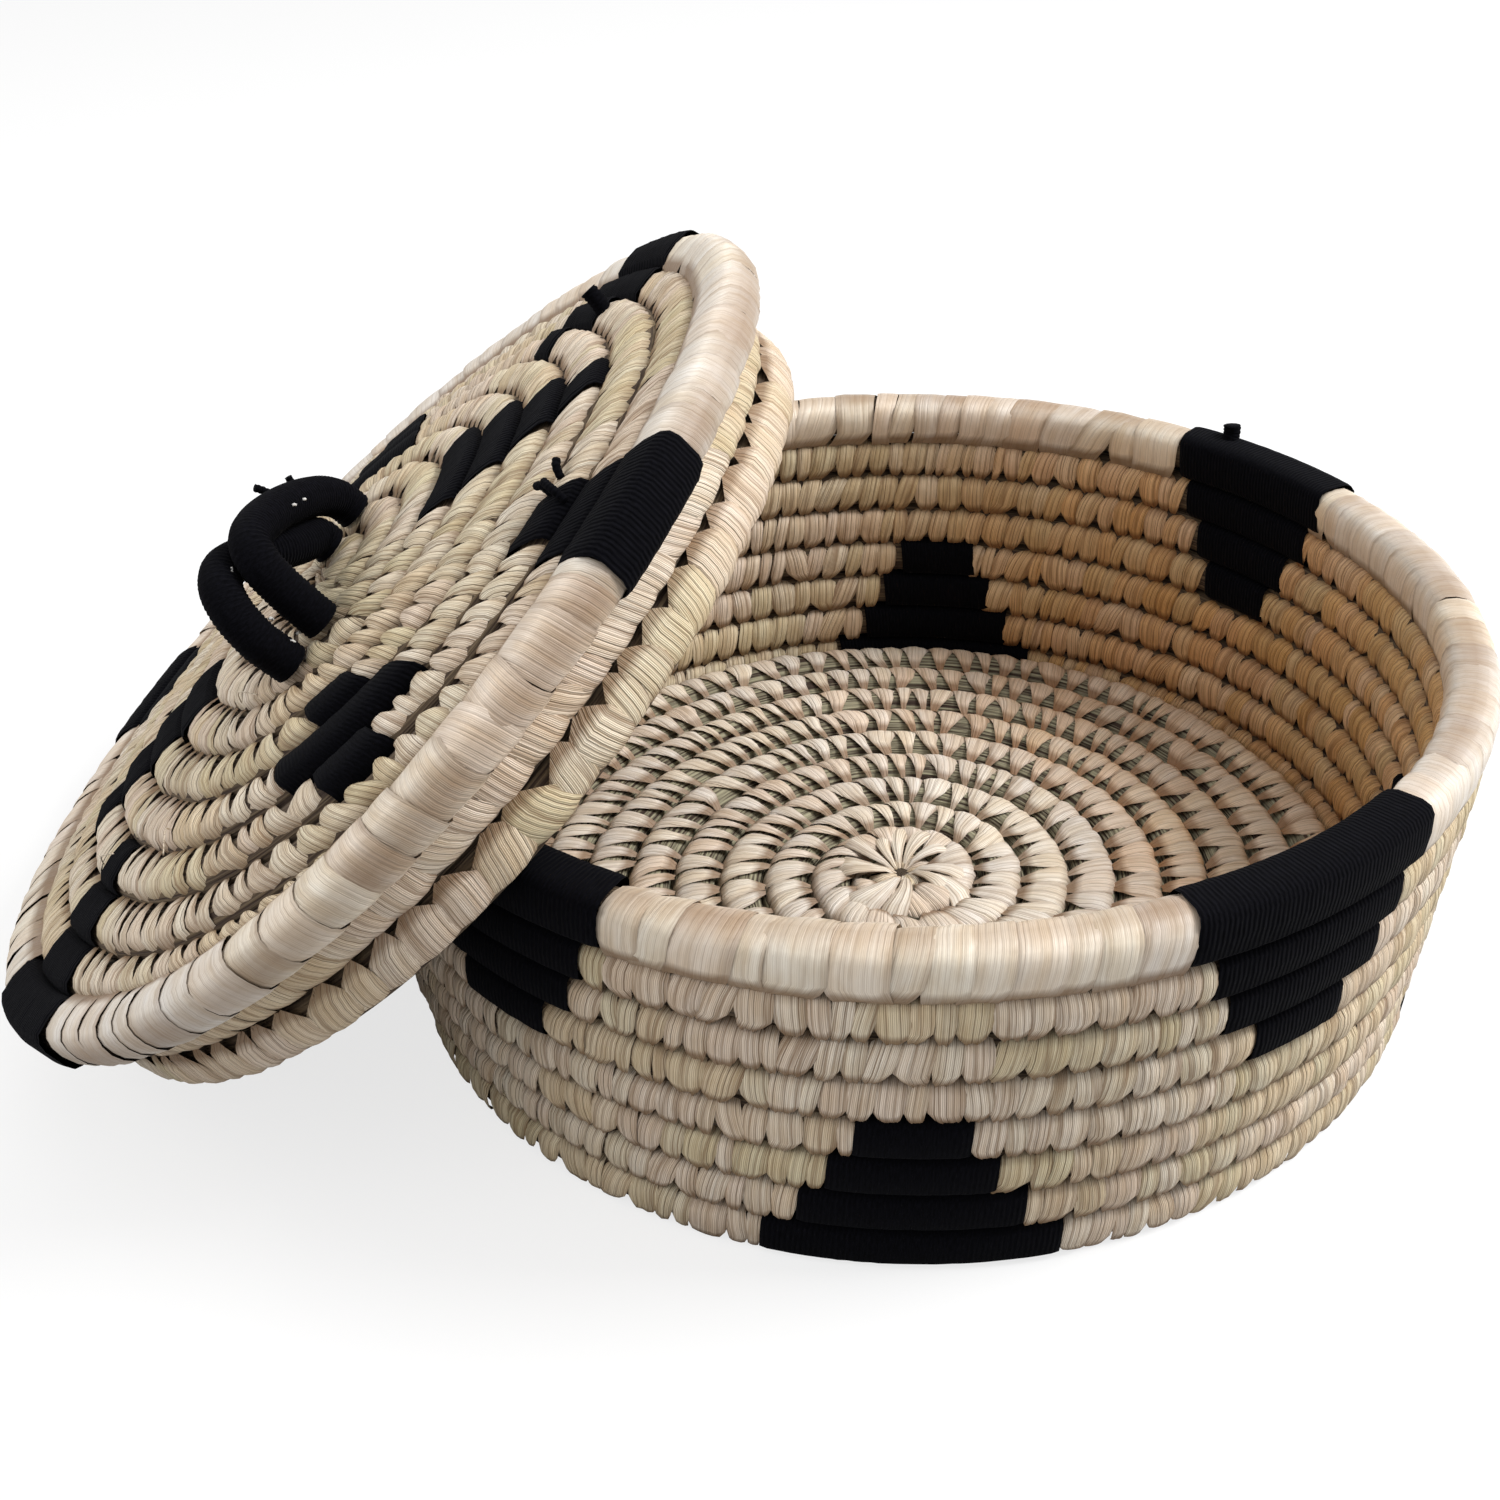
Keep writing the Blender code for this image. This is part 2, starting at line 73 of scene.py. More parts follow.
wall_top_radius = 0.1296
wall_climb = (13, 1)
wall_first_height = yarn_growth + wall_height / 2
wall_last_height = wall_first_height + (wall_courses - 1) * wall_pitch
rim_radius = 0.1300
rim_thickness = 0.0118
rim_oval = 0.0020
rim_height = wall_last_height + wall_height / 2 + course_gap + rim_thickness / 2
floor_outer_radius = wall_base_radius - wall_width / 2 - course_gap - spiral_width / 2

# Courses of the lid, in the lid's own frame
lid_rim_radius = 0.1188
lid_rim_thickness = 0.0120
lid_twist = 0.0022
lid_twist_place = radians(17)
lid_wave = 0.0008
lid_wave_place = radians(34)
crown_edge_lift = 0.0008
crown_rise = 0.0115
ring_courses = 3
ring_width = 0.0108
ring_height = 0.0066
ring_pitch = ring_height + course_gap
# Two broad rows of wraps stand over the three courses of the ring's solid
ring_rows = 2
ring_row_pitch = ring_courses * ring_pitch / ring_rows
ring_row_height = ring_row_pitch - course_gap
ring_radius = 0.1098
ring_climb = (6, 1)
crown_outer_radius = lid_rim_radius - lid_rim_thickness / 2 - course_gap - spiral_width / 2
ring_first_height = crown_edge_lift - spiral_height / 2 - course_gap - ring_row_height / 2
lid_place = (-0.129379, -0.009501, 0.091442)
lid_lean = radians(39.8)
lid_heading = radians(4.2)

# Yarn patches: the place of the middle in degrees, and the half width along each course
upper_steps = (0.0310, 0.0250, 0.0205, 0.0120)
lower_steps = (0.0115, 0.0170, 0.0230, 0.0310)
upper_patches = {
    "front_right": (-53, upper_steps),
    "back_right": (39, (0.0255, 0.0217, 0.0160, 0.0110)),
    "back_left": (134, upper_steps),
    "front_left": (229, upper_steps),
}
lower_patches = {
    "front": (-90, lower_steps),
    "right": (-8, lower_steps),
    "back": (84, lower_steps),
    "left": (178, lower_steps),
}
outer_patches = {
    "near": (-39, (0.0155, 0.0120, 0.0078)),
    "far": (36, (0.0165, 0.0172, 0.0120, 0.0055)),
    "high": (146, (0.0165, 0.0135, 0.0100)),
    "low": (218, (0.0215, 0.0130, 0.0105, 0.0060)),
}
inner_patches = {
    "front": (-78, (0.0082, 0.0185, 0.0070)),
    "right": (-5, (0.0065, 0.0110, 0.0150, 0.0170)),
    "back": (85, (0.0080, 0.0120, 0.0160)),
    "left": (188, (0.0060, 0.0091, 0.0115, 0.0130)),
}
inner_patch_first_course = 2

# Handle: routes across, along and above the crown
handle_cord_radius = 0.0043
cord_fuzz = 0.0006
cord_rib = 0.00032
handle_routes = {
    "handle_cord_high": ((0.0098, -0.0352, 0.0000), (0.0098, -0.0355, 0.0060),
                         (0.0098, -0.0352, 0.0120), (0.0098, -0.0338, 0.0180),
                         (0.0098, -0.0300, 0.0214), (0.0098, -0.0230, 0.0216),
                         (0.0098, -0.0111, 0.0188), (0.0098, 0.0020, 0.0142),
                         (0.0098, 0.0120, 0.0095), (0.0098, 0.0172, 0.0048),
                         (0.0098, 0.0180, 0.0000)),
    "handle_cord_low": ((0.0005, -0.0425, 0.0000), (0.0005, -0.0432, 0.0045),
                        (0.0005, -0.0438, 0.0085), (0.0005, -0.0430, 0.0130),
                        (0.0005, -0.0411, 0.0172), (0.0006, -0.0370, 0.0208),
                        (0.0008, -0.0298, 0.0214), (0.0010, -0.0190, 0.0172),
                        (0.0026, -0.0105, 0.0118), (0.0034, -0.0020, 0.0074),
                        (0.0036, 0.0062, 0.0040), (0.0036, 0.0075, 0.0000)),
}
seat_gap = 0.0003
ground_clearance = 0.0001

# Loose ends: thickness, depth of the ribs as a share of it, finish, slot, and the routes across,
# along and above the crown
loose_ends = {
    "yarn_ends": (0.0010, 0.2, "wound_yarn", "black_yarn", (
        ((0.0775, -0.0560, -0.0010), (0.0765, -0.0540, 0.0016), (0.0745, -0.0510, 0.0012)),
        ((0.0800, -0.0600, -0.0010), (0.0790, -0.0580, 0.0018), (0.0775, -0.0545, 0.0026)),
        ((0.0790, -0.0500, -0.0008), (0.0795, -0.0486, 0.0012), (0.0801, -0.0470, 0.0018)),
        ((0.0098, -0.0050, 0.0180), (0.0094, -0.0045, 0.0215), (0.0086, -0.0055, 0.0245)),
        ((0.0098, 0.0060, 0.0140), (0.0100, 0.0064, 0.0172), (0.0104, 0.0066, 0.0190)))),
    "yarn_knob": (0.0024, 0.15, "wound_yarn", "black_yarn", (
        ((0.0830, 0.0440, -0.0015), (0.0835, 0.0445, 0.0020), (0.0835, 0.0450, 0.0052)),)),
    "white_threads": (0.00035, 0.1, "white_thread", "black_yarn", (
        ((0.0050, -0.0362, 0.0216), (0.0052, -0.0355, 0.0220), (0.0051, -0.0349, 0.0219)),
        ((0.0049, -0.0412, 0.0102), (0.0052, -0.0406, 0.0099), (0.0050, -0.0402, 0.0093)),
        ((0.0049, -0.0425, 0.0040), (0.0052, -0.0422, 0.0034), (0.0050, -0.0418, 0.0029)),
        ((0.0052, -0.0388, 0.0028), (0.0055, -0.0380, 0.0026), (0.0054, -0.0374, 0.0020)),
        ((0.0141, -0.0106, 0.0170), (0.0144, -0.0100, 0.0167), (0.0142, -0.0095, 0.0163)),
        ((0.0141, -0.0050, 0.0152), (0.0144, -0.0044, 0.0148), (0.0142, -0.0040, 0.0146)))),
    "stray_fibres": (0.00016, 0.1, "leaf_strips", "palm_leaf", (
        ((-0.0700, -0.0470, -0.0004), (-0.0670, -0.0490, 0.0020), (-0.0620, -0.0520, 0.0012)),
        ((-0.0180, -0.0380, -0.0004), (-0.0150, -0.0400, 0.0024), (-0.0100, -0.0440, 0.0004)),
        ((-0.0400, -0.0620, -0.0004), (-0.0380, -0.0660, 0.0016), (-0.0390, -0.0720, 0.0006)))),
}
# The knob of yarn on the basket's rim, from its foot to its end
rim_tail = ((0.0920, 0.0935, 0.0880), (0.0930, 0.0950, 0.0915), (0.0930, 0.0955, 0.0940))
rim_tail_radius = 0.0025
rim_tail_rib = 0.0003

# Camera and studio
camera_place = (-0.0095, -0.4092, 0.3161)
camera_pitch = radians(33.24)
camera_yaw = radians(-4.16)
camera_roll = radians(-2.17)
camera_lens = 45.84
camera_sensor = 36
# The soft lights: their size, their place and what they are aimed at
lamps = {
    "key": (0.6, (1.00, 0.12, 1.10), (0, 0, 0.05)),
    "top": (1.6, (-0.10, 0.00, 1.50), (0, 0, 0.05)),
    "fill": (0.9, (-1.25, -0.30, 0.70), (-0.1, 0, 0.08)),
}

# A wrap's path round its bundle, from the tip on the front over the top to the tip on the back.
# Each row is the share across the course, the share away from the course before and how far the
# wrap stands out
wrap_path = (
    (0.66, -1.36, -0.5), (0.86, -0.98, 0.5), (0.97, -0.52, 0.9), (1.00, 0.00, 1.0),
    (0.94, 0.44, 1.0), (0.76, 0.76, 0.8), (0.42, 0.94, 0.6), (0.00, 1.00, 0.5),
    (-0.42, 0.94, 0.6), (-0.76, 0.76, 0.8), (-0.94, 0.44, 1.0), (-1.00, 0.00, 1.0),
    (-0.97, -0.52, 0.9), (-0.86, -0.98, 0.5), (-0.66, -1.36, -0.5))
wrap_across = (-1.0, -0.55, 0.0, 0.55, 1.0)
# How wide a wrap is along its path, as shares of its pitch
wrap_width_shares = {
    "pod": (0.30, 0.72, 0.98, 1.10, 1.12, 1.04, 0.90, 0.80, 0.84, 0.96, 1.08, 1.08, 0.98, 0.74,
            0.30),
    "wedge": (0.24, 0.40, 0.56, 0.78, 0.98, 1.10, 1.12, 1.06, 1.00, 0.96, 0.92, 0.84, 0.74, 0.56,
              0.26),
    "crescent": (0.34, 0.78, 1.06, 1.18, 1.16, 1.06, 0.98, 0.94, 0.94, 0.98, 1.04, 1.06, 1.00,
                 0.74, 0.34),
    "leaf": (0.20, 0.84, 1.34, 1.50, 1.46, 1.26, 0.94, 0.70, 0.70, 0.90, 1.10, 1.16, 1.06, 0.72,
             0.30),
    "band": (1.02, 1.08, 1.12, 1.14, 1.14, 1.12, 1.10, 1.08, 1.08, 1.08, 1.08, 1.06, 1.04, 1.00,
             0.94),
}

# How far the wraps and the yarn of each kind of course lean along it, from sewn edge to far edge
floor_lean = 0.0030
wall_lean = 0.0013
rim_lean = 0.0016
lid_rim_lean = 0.0032
crown_lean = 0.0056
ring_lean = 0.0070

# Size of a grass bundle as shares of its course. On a coil it reaches over half the gap to the
# next turn, so that no light comes through between the turns
bundle_share = 0.88
bundle_reach = 1.13

# Share of its climb that a coil's tapered ends are dressed along
taper_share = 0.7

# Distance between the fine ribs that run along a strip of leaf
leaf_rib_pitch = 0.00038

# Warm painted shade inside, where the right wall shades the leaf: the middle of its side, how wide
# and how sharply bounded that side is, the radius where it starts and over how far it comes in
amber_shade_middle = radians(22)
amber_shade_spread = 1.6
amber_shade_edge = 0.20
amber_shade_from = 0.050
amber_shade_fade = 0.022

# A course: where it lies at an angle, its half sizes across and away, which way is away from the
# course that it is sewn to, the span of its angles, its climb and its frame
Course = namedtuple("Course", "place across away direction start end climb frame")
# How wraps are laid on a course: their pitch and how far they bulge, how far they lean along it on
# the front and back, how much one lies over the next, how uneven they are, their shapes on the
# open side of the course and opposite it, the lean of every other turn, and the share across the
# course up to which the leaf may take the warm painted shade
Wraps = namedtuple("Wraps", "pitch bulge front_slant back_slant overlap jitter shapes open_side "
                            "odd_turns amber_reach", defaults=(0, 1, -2))


def extent(name, description, default, low=0.003, high=0.012):
    return bpy.props.FloatProperty(name=name, description=description, default=default, min=low,
                                   max=high, subtype="DISTANCE", unit="LENGTH")


def colour_of(name, description, default):
    return bpy.props.FloatVectorProperty(name=name, description=description, default=default,
                                         min=0, max=1, subtype="COLOR")


def watts(name, description, default):
    return bpy.props.FloatProperty(name=name, description=description, default=default, min=0,
                                   max=500, unit="POWER")


class BasketSizes(bpy.types.PropertyGroup):
    wall_wrap_pitch: extent("Wall wrap pitch", "Distance between wraps along a wall course", 0.0056)
    floor_wrap_pitch: extent("Floor wrap pitch", "Distance between wraps along the floor", 0.0068)
    crown_wrap_pitch: extent("Crown wrap pitch", "Distance between wraps along the lid", 0.0060)
    ring_wrap_pitch: extent("Ring wrap pitch", "Distance between wraps along the ring", 0.0088)
    rim_wrap_pitch: extent("Rim wrap pitch", "Distance between the broad wraps of the rims",
                           0.0090, high=0.014)
    wrap_bulge: extent("Wrap bulge", "How far the middle of a wrap stands out of its edges",
                       0.0008, low=0.0002, high=0.002)
    thread_pitch: extent("Thread pitch", "Distance between the turns of yarn", 0.0011, low=0.0006,
                         high=0.003)


class BasketColours(bpy.types.PropertyGroup):
    leaf_pale: colour_of("Pale leaf", "Lightest palm leaf", (0.86, 0.79, 0.67))
    leaf_straw: colour_of("Straw leaf", "Straw-coloured palm leaf", (0.79, 0.68, 0.50))
    leaf_pink: colour_of("Pinkish leaf", "Palm leaf with a pinkish tone", (0.81, 0.70, 0.59))
    leaf_green: colour_of("Greenish leaf", "Palm leaf that kept some green", (0.74, 0.67, 0.47))
    # Painted shade: the colour that the leaf's creases, wrap ends and strip edges are darkened to
    leaf_shade: colour_of("Creases", "Dark creases and edges of the leaf", (0.19, 0.10, 0.042))
    # Warm painted shade, multiplied into the leaf at the right inside where the wall shades it
    leaf_amber_shade: colour_of("Amber leaf", "Tint of the leaf at the right inside", (1.0, 0.68, 0.38))
    rim_leaf: colour_of("Rim leaf", "Smooth pale leaf of the rims", (0.79, 0.745, 0.685))
    # Painted shade: the darkest grass between stalks, and the grass of the wall and lid bundles
    # darkened for the notches between wraps; the floor's grass is kept paler
    grass_dark: colour_of("Bundle shade", "Deep brown between the wraps", (0.034, 0.017, 0.009))
    grass_shaded: colour_of("Bundle grass", "Brown grass of the bundles", (0.15, 0.105, 0.060))
    grass_pale: colour_of("Floor grass", "Greenish grey grass of the floor", (0.38, 0.35, 0.23))
    yarn_black: colour_of("Black yarn", "Blue-black yarn", (0.0014, 0.0014, 0.0022))
    thread_white: colour_of("White thread", "Thread on the handle's seam", (0.62, 0.60, 0.56))
    ground: colour_of("Ground", "Pale floor under the basket", (0.45, 0.45, 0.45))


class StudioSettings(bpy.types.PropertyGroup):
    key_power: watts("Key light", "Power of the soft light at the right, in watts", 24.0)
    top_power: watts("Top light", "Power of the large soft light above, in watts", 6.0)
    fill_power: watts("Fill light", "Power of the low soft light at the left, in watts", 6.0)
    sky_strength: bpy.props.FloatProperty(
        name="Room light", description="Strength of the even light of the room", default=0.46,
        min=0, max=2)


# Placing

def lid_frame():
    turn = Euler((0, -lid_lean, lid_heading)).to_matrix().to_4x4()
    return Matrix.Translation(Vector(lid_place)) @ turn


def lid_warp(angles, radii):
    twist = lid_twist * np.cos(2 * (angles + lid_twist_place))
    wave = lid_wave * np.cos(3 * (angles + lid_wave_place))
    return (twist + wave) * (radii / lid_rim_radius) ** 2


def crown_level(angles, radii):
    dome = crown_rise * (1 - (radii / crown_outer_radius) ** 2)
    return crown_edge_lift + dome + lid_warp(angles, radii)


def spiral_turns(outer_radius):
    return int((outer_radius - spiral_start_radius) / spiral_pitch) + 1


def first_spiral_radius(outer_radius):
    return outer_radius - (spiral_turns(outer_radius) - 1) * spiral_pitch


def turns_passed(angles, climb, turns):
    """Turns done along a coil: level at first, then moving on to the next turn in the climb."""
    first = sum(climb) * station_angle
    passed = (angles - first) / (2 * pi)
    whole = np.floor(passed)
    level = 1 - climb[1] / loop_stations
    moved = np.clip((passed - whole - level) / (1 - level), 0, 1)
    return np.clip(whole + moved, 0, turns - 1)


def floor_place(angles):
    """Radius and height of the floor's coil."""
    turns = spiral_turns(floor_outer_radius)
    radii = (first_spiral_radius(floor_outer_radius)
             + turns_passed(angles, floor_climb, turns) * spiral_pitch)
    return radii, np.full_like(radii, floor_lift + spiral_height / 2)


def crown_place(angles):
    turns = spiral_turns(crown_outer_radius)
    radii = (first_spiral_radius(crown_outer_radius)
             + turns_passed(angles, crown_climb, turns) * spiral_pitch)
    return radii, crown_level(angles, radii)


def oval_offset(angles, heights):
    return rim_oval * np.cos(2 * angles) * heights / rim_height


def wall_place(angles):
    heights = wall_first_height + turns_passed(angles, wall_climb, wall_courses) * wall_pitch
    rise = (heights - wall_first_height) / (wall_last_height - wall_first_height)
    radii = wall_base_radius + (wall_top_radius - wall_base_radius) * rise
    return radii + oval_offset(angles, heights), heights


def rim_place(angles):
    heights = np.full_like(angles, rim_height)
    return rim_radius + oval_offset(angles, heights), heights


def lid_rim_place(angles):
    radii = np.full_like(angles, lid_rim_radius)
    return radii, lid_warp(angles, radii)


def ring_place(angles):
    radii = np.full_like(angles, ring_radius)
    heights = ring_first_height - turns_passed(angles, ring_climb, ring_rows) * ring_row_pitch
    return radii, heights + lid_warp(angles, radii)


def coil(place, across, away, direction, turns, climb, matrix):
    first = sum(climb) * station_angle
    last = first + (turns * loop_stations - climb[1]) * station_angle
    return Course(place, across / 2, away / 2, direction, first, last, climb, matrix)


def closed_course(place, thickness, direction, matrix):
    return Course(place, thickness / 2, thickness / 2, direction, 0, 2 * pi, (0, 0), matrix)


def courses():
    """Every course of the basket and its lid, by name."""
    still, lid = Matrix.Identity(4), lid_frame()
    return {
        "floor": coil(floor_place, spiral_height, spiral_width, "out",
                      spiral_turns(floor_outer_radius), floor_climb, still),
        "wall": coil(wall_place, wall_width, wall_height, "up", wall_courses, wall_climb, still),
        "rim": closed_course(rim_place, rim_thickness, "up", still),
        "crown": coil(crown_place, spiral_height, spiral_width, "out",
                      spiral_turns(crown_outer_radius), crown_climb, lid),
        "ring": coil(ring_place, ring_width, ring_row_height, "down", ring_rows, ring_climb, lid),
        "lid_rim": closed_course(lid_rim_place, lid_rim_thickness, "out", lid),
    }


def placed(radii, angles, heights, matrix):
    """World points from radii, angles and heights in the frame of a basket or lid."""
    local = np.stack(np.broadcast_arrays(radii * np.cos(angles), radii * np.sin(angles), heights),
                     axis=-1)
    turn = np.array(matrix)
    return local @ turn[:3, :3].T + turn[:3, 3]


def dressed_span(course):
    """First and last angle of a course, with the part of its tapered ends that is dressed."""
    reach = course.climb[1] * station_angle * taper_share
    return course.start - reach, course.end + reach


def taper(course, angles):
    """Share of its full size that a coil has at its tapered ends, and how far it moves there."""
    if not course.climb[1]:
        return np.ones_like(angles), np.zeros_like(angles)
    reach = course.climb[1] * station_angle
    before = np.clip((course.start - angles) / reach, 0, 0.75)
    after = np.clip((angles - course.end) / reach, 0, 0.75)
    share = 1 - before - after
    return share, np.where(before > 0, -1, 1) * (1 - share) * course.away


def on_course(course, angles, across, away):
    """Points beside the middle of a course, given across its face and away from the one before."""
    radii, heights = course.place(angles)
    share, moved = taper(course, angles)
    across = across * np.sqrt(share)
    away = away * share + moved
    if course.direction == "out":
        radii, heights = radii + away, heights + across
    else:
        lift = away if course.direction == "up" else -away
        radii, heights = radii + across, heights + lift
    points = placed(radii, angles, heights, course.frame)
    points[..., 2] = np.maximum(points[..., 2], ground_clearance)
    return points


# Meshes

def mesh_from(shape, name):
    mesh = bpy.data.meshes.new(name)
    shape.to_mesh(mesh)
    shape.free()
    return mesh


def sealed(mesh, weld=0, close=False):
    """Welds points that coincide, closes open ends if asked and turns the faces outwards."""
    shape = bmesh.new()
    shape.from_mesh(mesh)
    if weld:
        bmesh.ops.remove_doubles(shape, verts=shape.verts, dist=weld)
    if close:
        bmesh.ops.holes_fill(shape, edges=shape.edges, sides=0)
    bmesh.ops.recalc_face_normals(shape, faces=shape.faces)
    shape.to_mesh(mesh)
    shape.free()
    return mesh


def paired(first, second):
    """Leaf coordinates from the place across a strip and the place along it."""
    return np.stack(np.broadcast_arrays(first, second), axis=-1)


def strips_mesh(name, points, layout, tones, **shades):
    """Many separate strips in one mesh. points is strip by row across by place along.

    layout holds each point's place on the leaf in metres. shades are attributes from 0 to 1 of
    painted shade: how deep a point lies where its wrap tucks under or near a strip's edge, and how
    much warm painted shade the leaf takes at the right inside.
    """
    count, rows, places = points.shape[:3]
    shape = bmesh.new()
    for _ in range(count):
        bmesh.ops.create_grid(shape, x_segments=places - 1, y_segments=rows - 1, size=1)
    mesh = mesh_from(shape, name)
    mesh.vertices.foreach_set("co", np.ascontiguousarray(points, np.float32).ravel())
    paint_layout(mesh, layout.reshape(-1, 2), np.repeat(tones, rows * places))
    for title, values in shades.items():
        painted = mesh.attributes.new(title, "FLOAT", "POINT")
        whole = np.broadcast_to(values, points.shape[:3])
        painted.data.foreach_set("value", np.ascontiguousarray(whole, np.float32).ravel())
    mesh.update()
    return mesh


def paint_layout(mesh, layout, tones):
    """Writes the leaf coordinates as a UV map, and each strip's tone as an attribute."""
    corner_points = np.empty(len(mesh.loops), np.int32)
    mesh.loops.foreach_get("vertex_index", corner_points)
    uv = mesh.uv_layers.active or mesh.uv_layers.new(name="leaf")
    uv.data.foreach_set("uv", layout[corner_points].astype(np.float32).ravel())
    tone = mesh.attributes.new("tone", "FLOAT", "POINT")
    tone.data.foreach_set("value", tones.astype(np.float32))


def show(name, mesh, material, body, slot, *nodes):
    """Puts a finished mesh into the scene as a piece that stands for the given solids."""
    piece = bpy.data.objects.new(name, mesh)
    bpy.context.scene.collection.objects.link(piece)
    mesh.materials.append(material)
    mesh.shade_smooth()
    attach(piece, body)
    if nodes:
        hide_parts(*nodes)
    return piece


def run_tones(rng, count, longest=9, spread=0.10):
    """Tones from 0 to 1 that stay alike for a run of wraps, as one strip makes several wraps."""
    tones = []
    while len(tones) < count:
        tone = rng.uniform(0, 1)
        tones.extend([tone] * rng.integers(2, longest))
    return np.clip(np.array(tones[:count]) + rng.normal(0, spread, count), 0, 1)


def wrap_angles(course, wraps, rng, patches):
    """Angles and widths of the wraps along a course, laid right up to the yarn patches on it."""
    angle, last = dressed_span(course)
    blocked = [(middle - span, middle + span) for middle, span in patches]
    angles, widths = [], []
    while angle < last - 0.0001:
        inside = [high for low, high in blocked if low - 0.0001 <= angle < high]
        if inside:
            angle = max(inside)
            continue
        radius = float(course.place(np.array([angle]))[0][0])
        step = wraps.pitch * rng.uniform(1 - wraps.jitter, 1 + wraps.jitter) / radius
        free = min([low for low, high in blocked if low > angle] + [last]) - angle
        if free < 1.45 * step:
            step = free
        angles.append(angle + step / 2)
        widths.append(step * radius)
        angle += step
    return np.array(angles), np.array(widths)


def width_shares(wraps, angles, rng):
    """Each wrap's width along its path: one shape on the open side, another opposite it."""
    share = 0.5 + 0.5 * np.cos(angles - wraps.open_side) + rng.normal(0, 0.16, len(angles))
    share = np.clip(share, 0, 1)[:, None, None]
    opened, closed = (np.array(wrap_width_shares[shape]) for shape in wraps.shapes)
    return opened * share + closed * (1 - share)


def amber_shade_share(wraps, face, angles, radii):
    """How much warm painted shade the leaf takes: only inside the basket, at one side and away from
    the middle.
    """
    inside = np.clip((wraps.amber_reach - face) * 2, 0, 1)
    side = np.clip(np.cos(angles - amber_shade_middle) * amber_shade_spread - amber_shade_edge, 0, 1)
    return inside * side[:, None, None] * np.clip((radii - amber_shade_from) / amber_shade_fade, 0, 1)


def leaf_wraps(name, course, wraps, seed, patches=()):
    """The leaf wraps of one course or coil as separate bowed strips."""
    rng = np.random.default_rng(seed)
    angles, widths = wrap_angles(course, wraps, rng, patches)
    count = len(angles)
    each = (count, 1, 1)
    face, away, stand = np.array(wrap_path).T
    across = np.array(wrap_across)[None, :, None]
    radii = course.place(angles)[0][:, None, None]
    width = widths[:, None, None]
    half = width / 2 * width_shares(wraps, angles, rng) * rng.uniform(0.94, 1.14, each)
    climb_share = np.linspace(-0.5, 1.5, len(face))
    front = np.clip(climb_share, -0.5, 0.5)
    back = np.clip(climb_share - 0.5, 0, 1)
    odd = np.floor((angles - course.start) / (2 * pi)) % 2 == 1
    turn_lean = np.where(odd, wraps.odd_turns, 1)[:, None, None]
    lean = front * wraps.front_slant * turn_lean * rng.uniform(0.55, 1.45, each)
    lean = lean + back * wraps.back_slant
    tips = np.clip(np.abs(climb_share - 0.5) * 2 - 1.4, 0, 1)
    stray = rng.normal(0, 0.16, each) * width * tips * 1.6
    curl = rng.normal(0, 0.09, each) * width * np.sin(climb_share * pi)
    along = across * half + lean + curl + stray
    bow = 1 - np.abs(across) ** 2.2
    height = wraps.bulge * rng.uniform(0.7, 1.4, each) * np.clip(width / wraps.pitch, 0.6, 1.3)
    lift = height * (bow - 0.45) * stand + rng.normal(0, 0.00010, each) * np.clip(stand, 0, 1)
    lift = lift + wraps.overlap * across * np.clip(stand, 0, 1)
    lift = lift + rng.normal(0, 0.00007, (count, across.size, len(face)))
    normal = np.stack([face, away * 0.9], axis=-1)
    normal /= np.linalg.norm(normal, axis=-1, keepdims=True)
    stretch = rng.uniform(0.95, 1.04, each)
    across_place = course.across * face + lift * normal[:, 0]
    away_place = course.away * away * stretch + lift * normal[:, 1]
    points = on_course(course, angles[:, None, None] + along / radii, across_place, away_place)
    pieces = np.hypot(np.diff(face) * course.across, np.diff(away) * course.away)
    unrolled = np.concatenate([[0], np.cumsum(pieces)])
    layout = paired(across * half * np.ones_like(lift) + rng.uniform(0, 9, each),
                    unrolled + rng.uniform(0, 9, each))
    # Painted shade, with some tan of the leaf at the tips: darker where a wrap's ends tuck under
    # and, thinly, at its edges, with a random part for each wrap
    depth = np.clip((np.abs(away) - 0.55) / 0.5, 0, 1) * np.where(away < 0, 1, 0.75)
    edge = np.abs(across) ** 5 * 0.5
    tucked = np.clip(np.maximum(depth, edge) + rng.uniform(-0.12, 0.22, each), 0, 1)
    # Warm painted shade at the right inside
    amber = amber_shade_share(wraps, face, angles, radii) * rng.uniform(0.6, 1.0, each)
    mesh = strips_mesh(name, points, layout, run_tones(rng, count), tucked=tucked, amber=amber)
    if course.direction == "up":
        mesh.flip_normals()
    return mesh


def bundle(name, course, across_share, away_share, spacing=0.004, sides=12):
    """The grass bundle inside a course: one closed tube along it."""
    start, end = dressed_span(course)
    mean_radius = float(np.mean(course.place(np.linspace(start, end, 50))[0]))
    stations = max(24, int((end - start) * mean_radius / spacing))
    shape = bmesh.new()
    bmesh.ops.create_grid(shape, x_segments=stations, y_segments=sides, size=1)
    angles = np.linspace(start, end, stations + 1)[None, :]
    around = np.linspace(0, 2 * pi, sides + 1)[:, None]
    points = on_course(course, angles + 0 * around,
                       course.across * across_share * np.cos(around) + 0 * angles,
                       course.away * away_share * np.sin(around) + 0 * angles)
    for vert, point in zip(shape.verts, points.reshape(-1, 3)):
        vert.co = point
    mesh = mesh_from(shape, name)
    layout = paired(around * course.across, angles * mean_radius)
    paint_layout(mesh, layout.reshape(-1, 2), np.full(len(mesh.vertices), 0.5))
    return sealed(mesh, weld=0.00001, close=True)


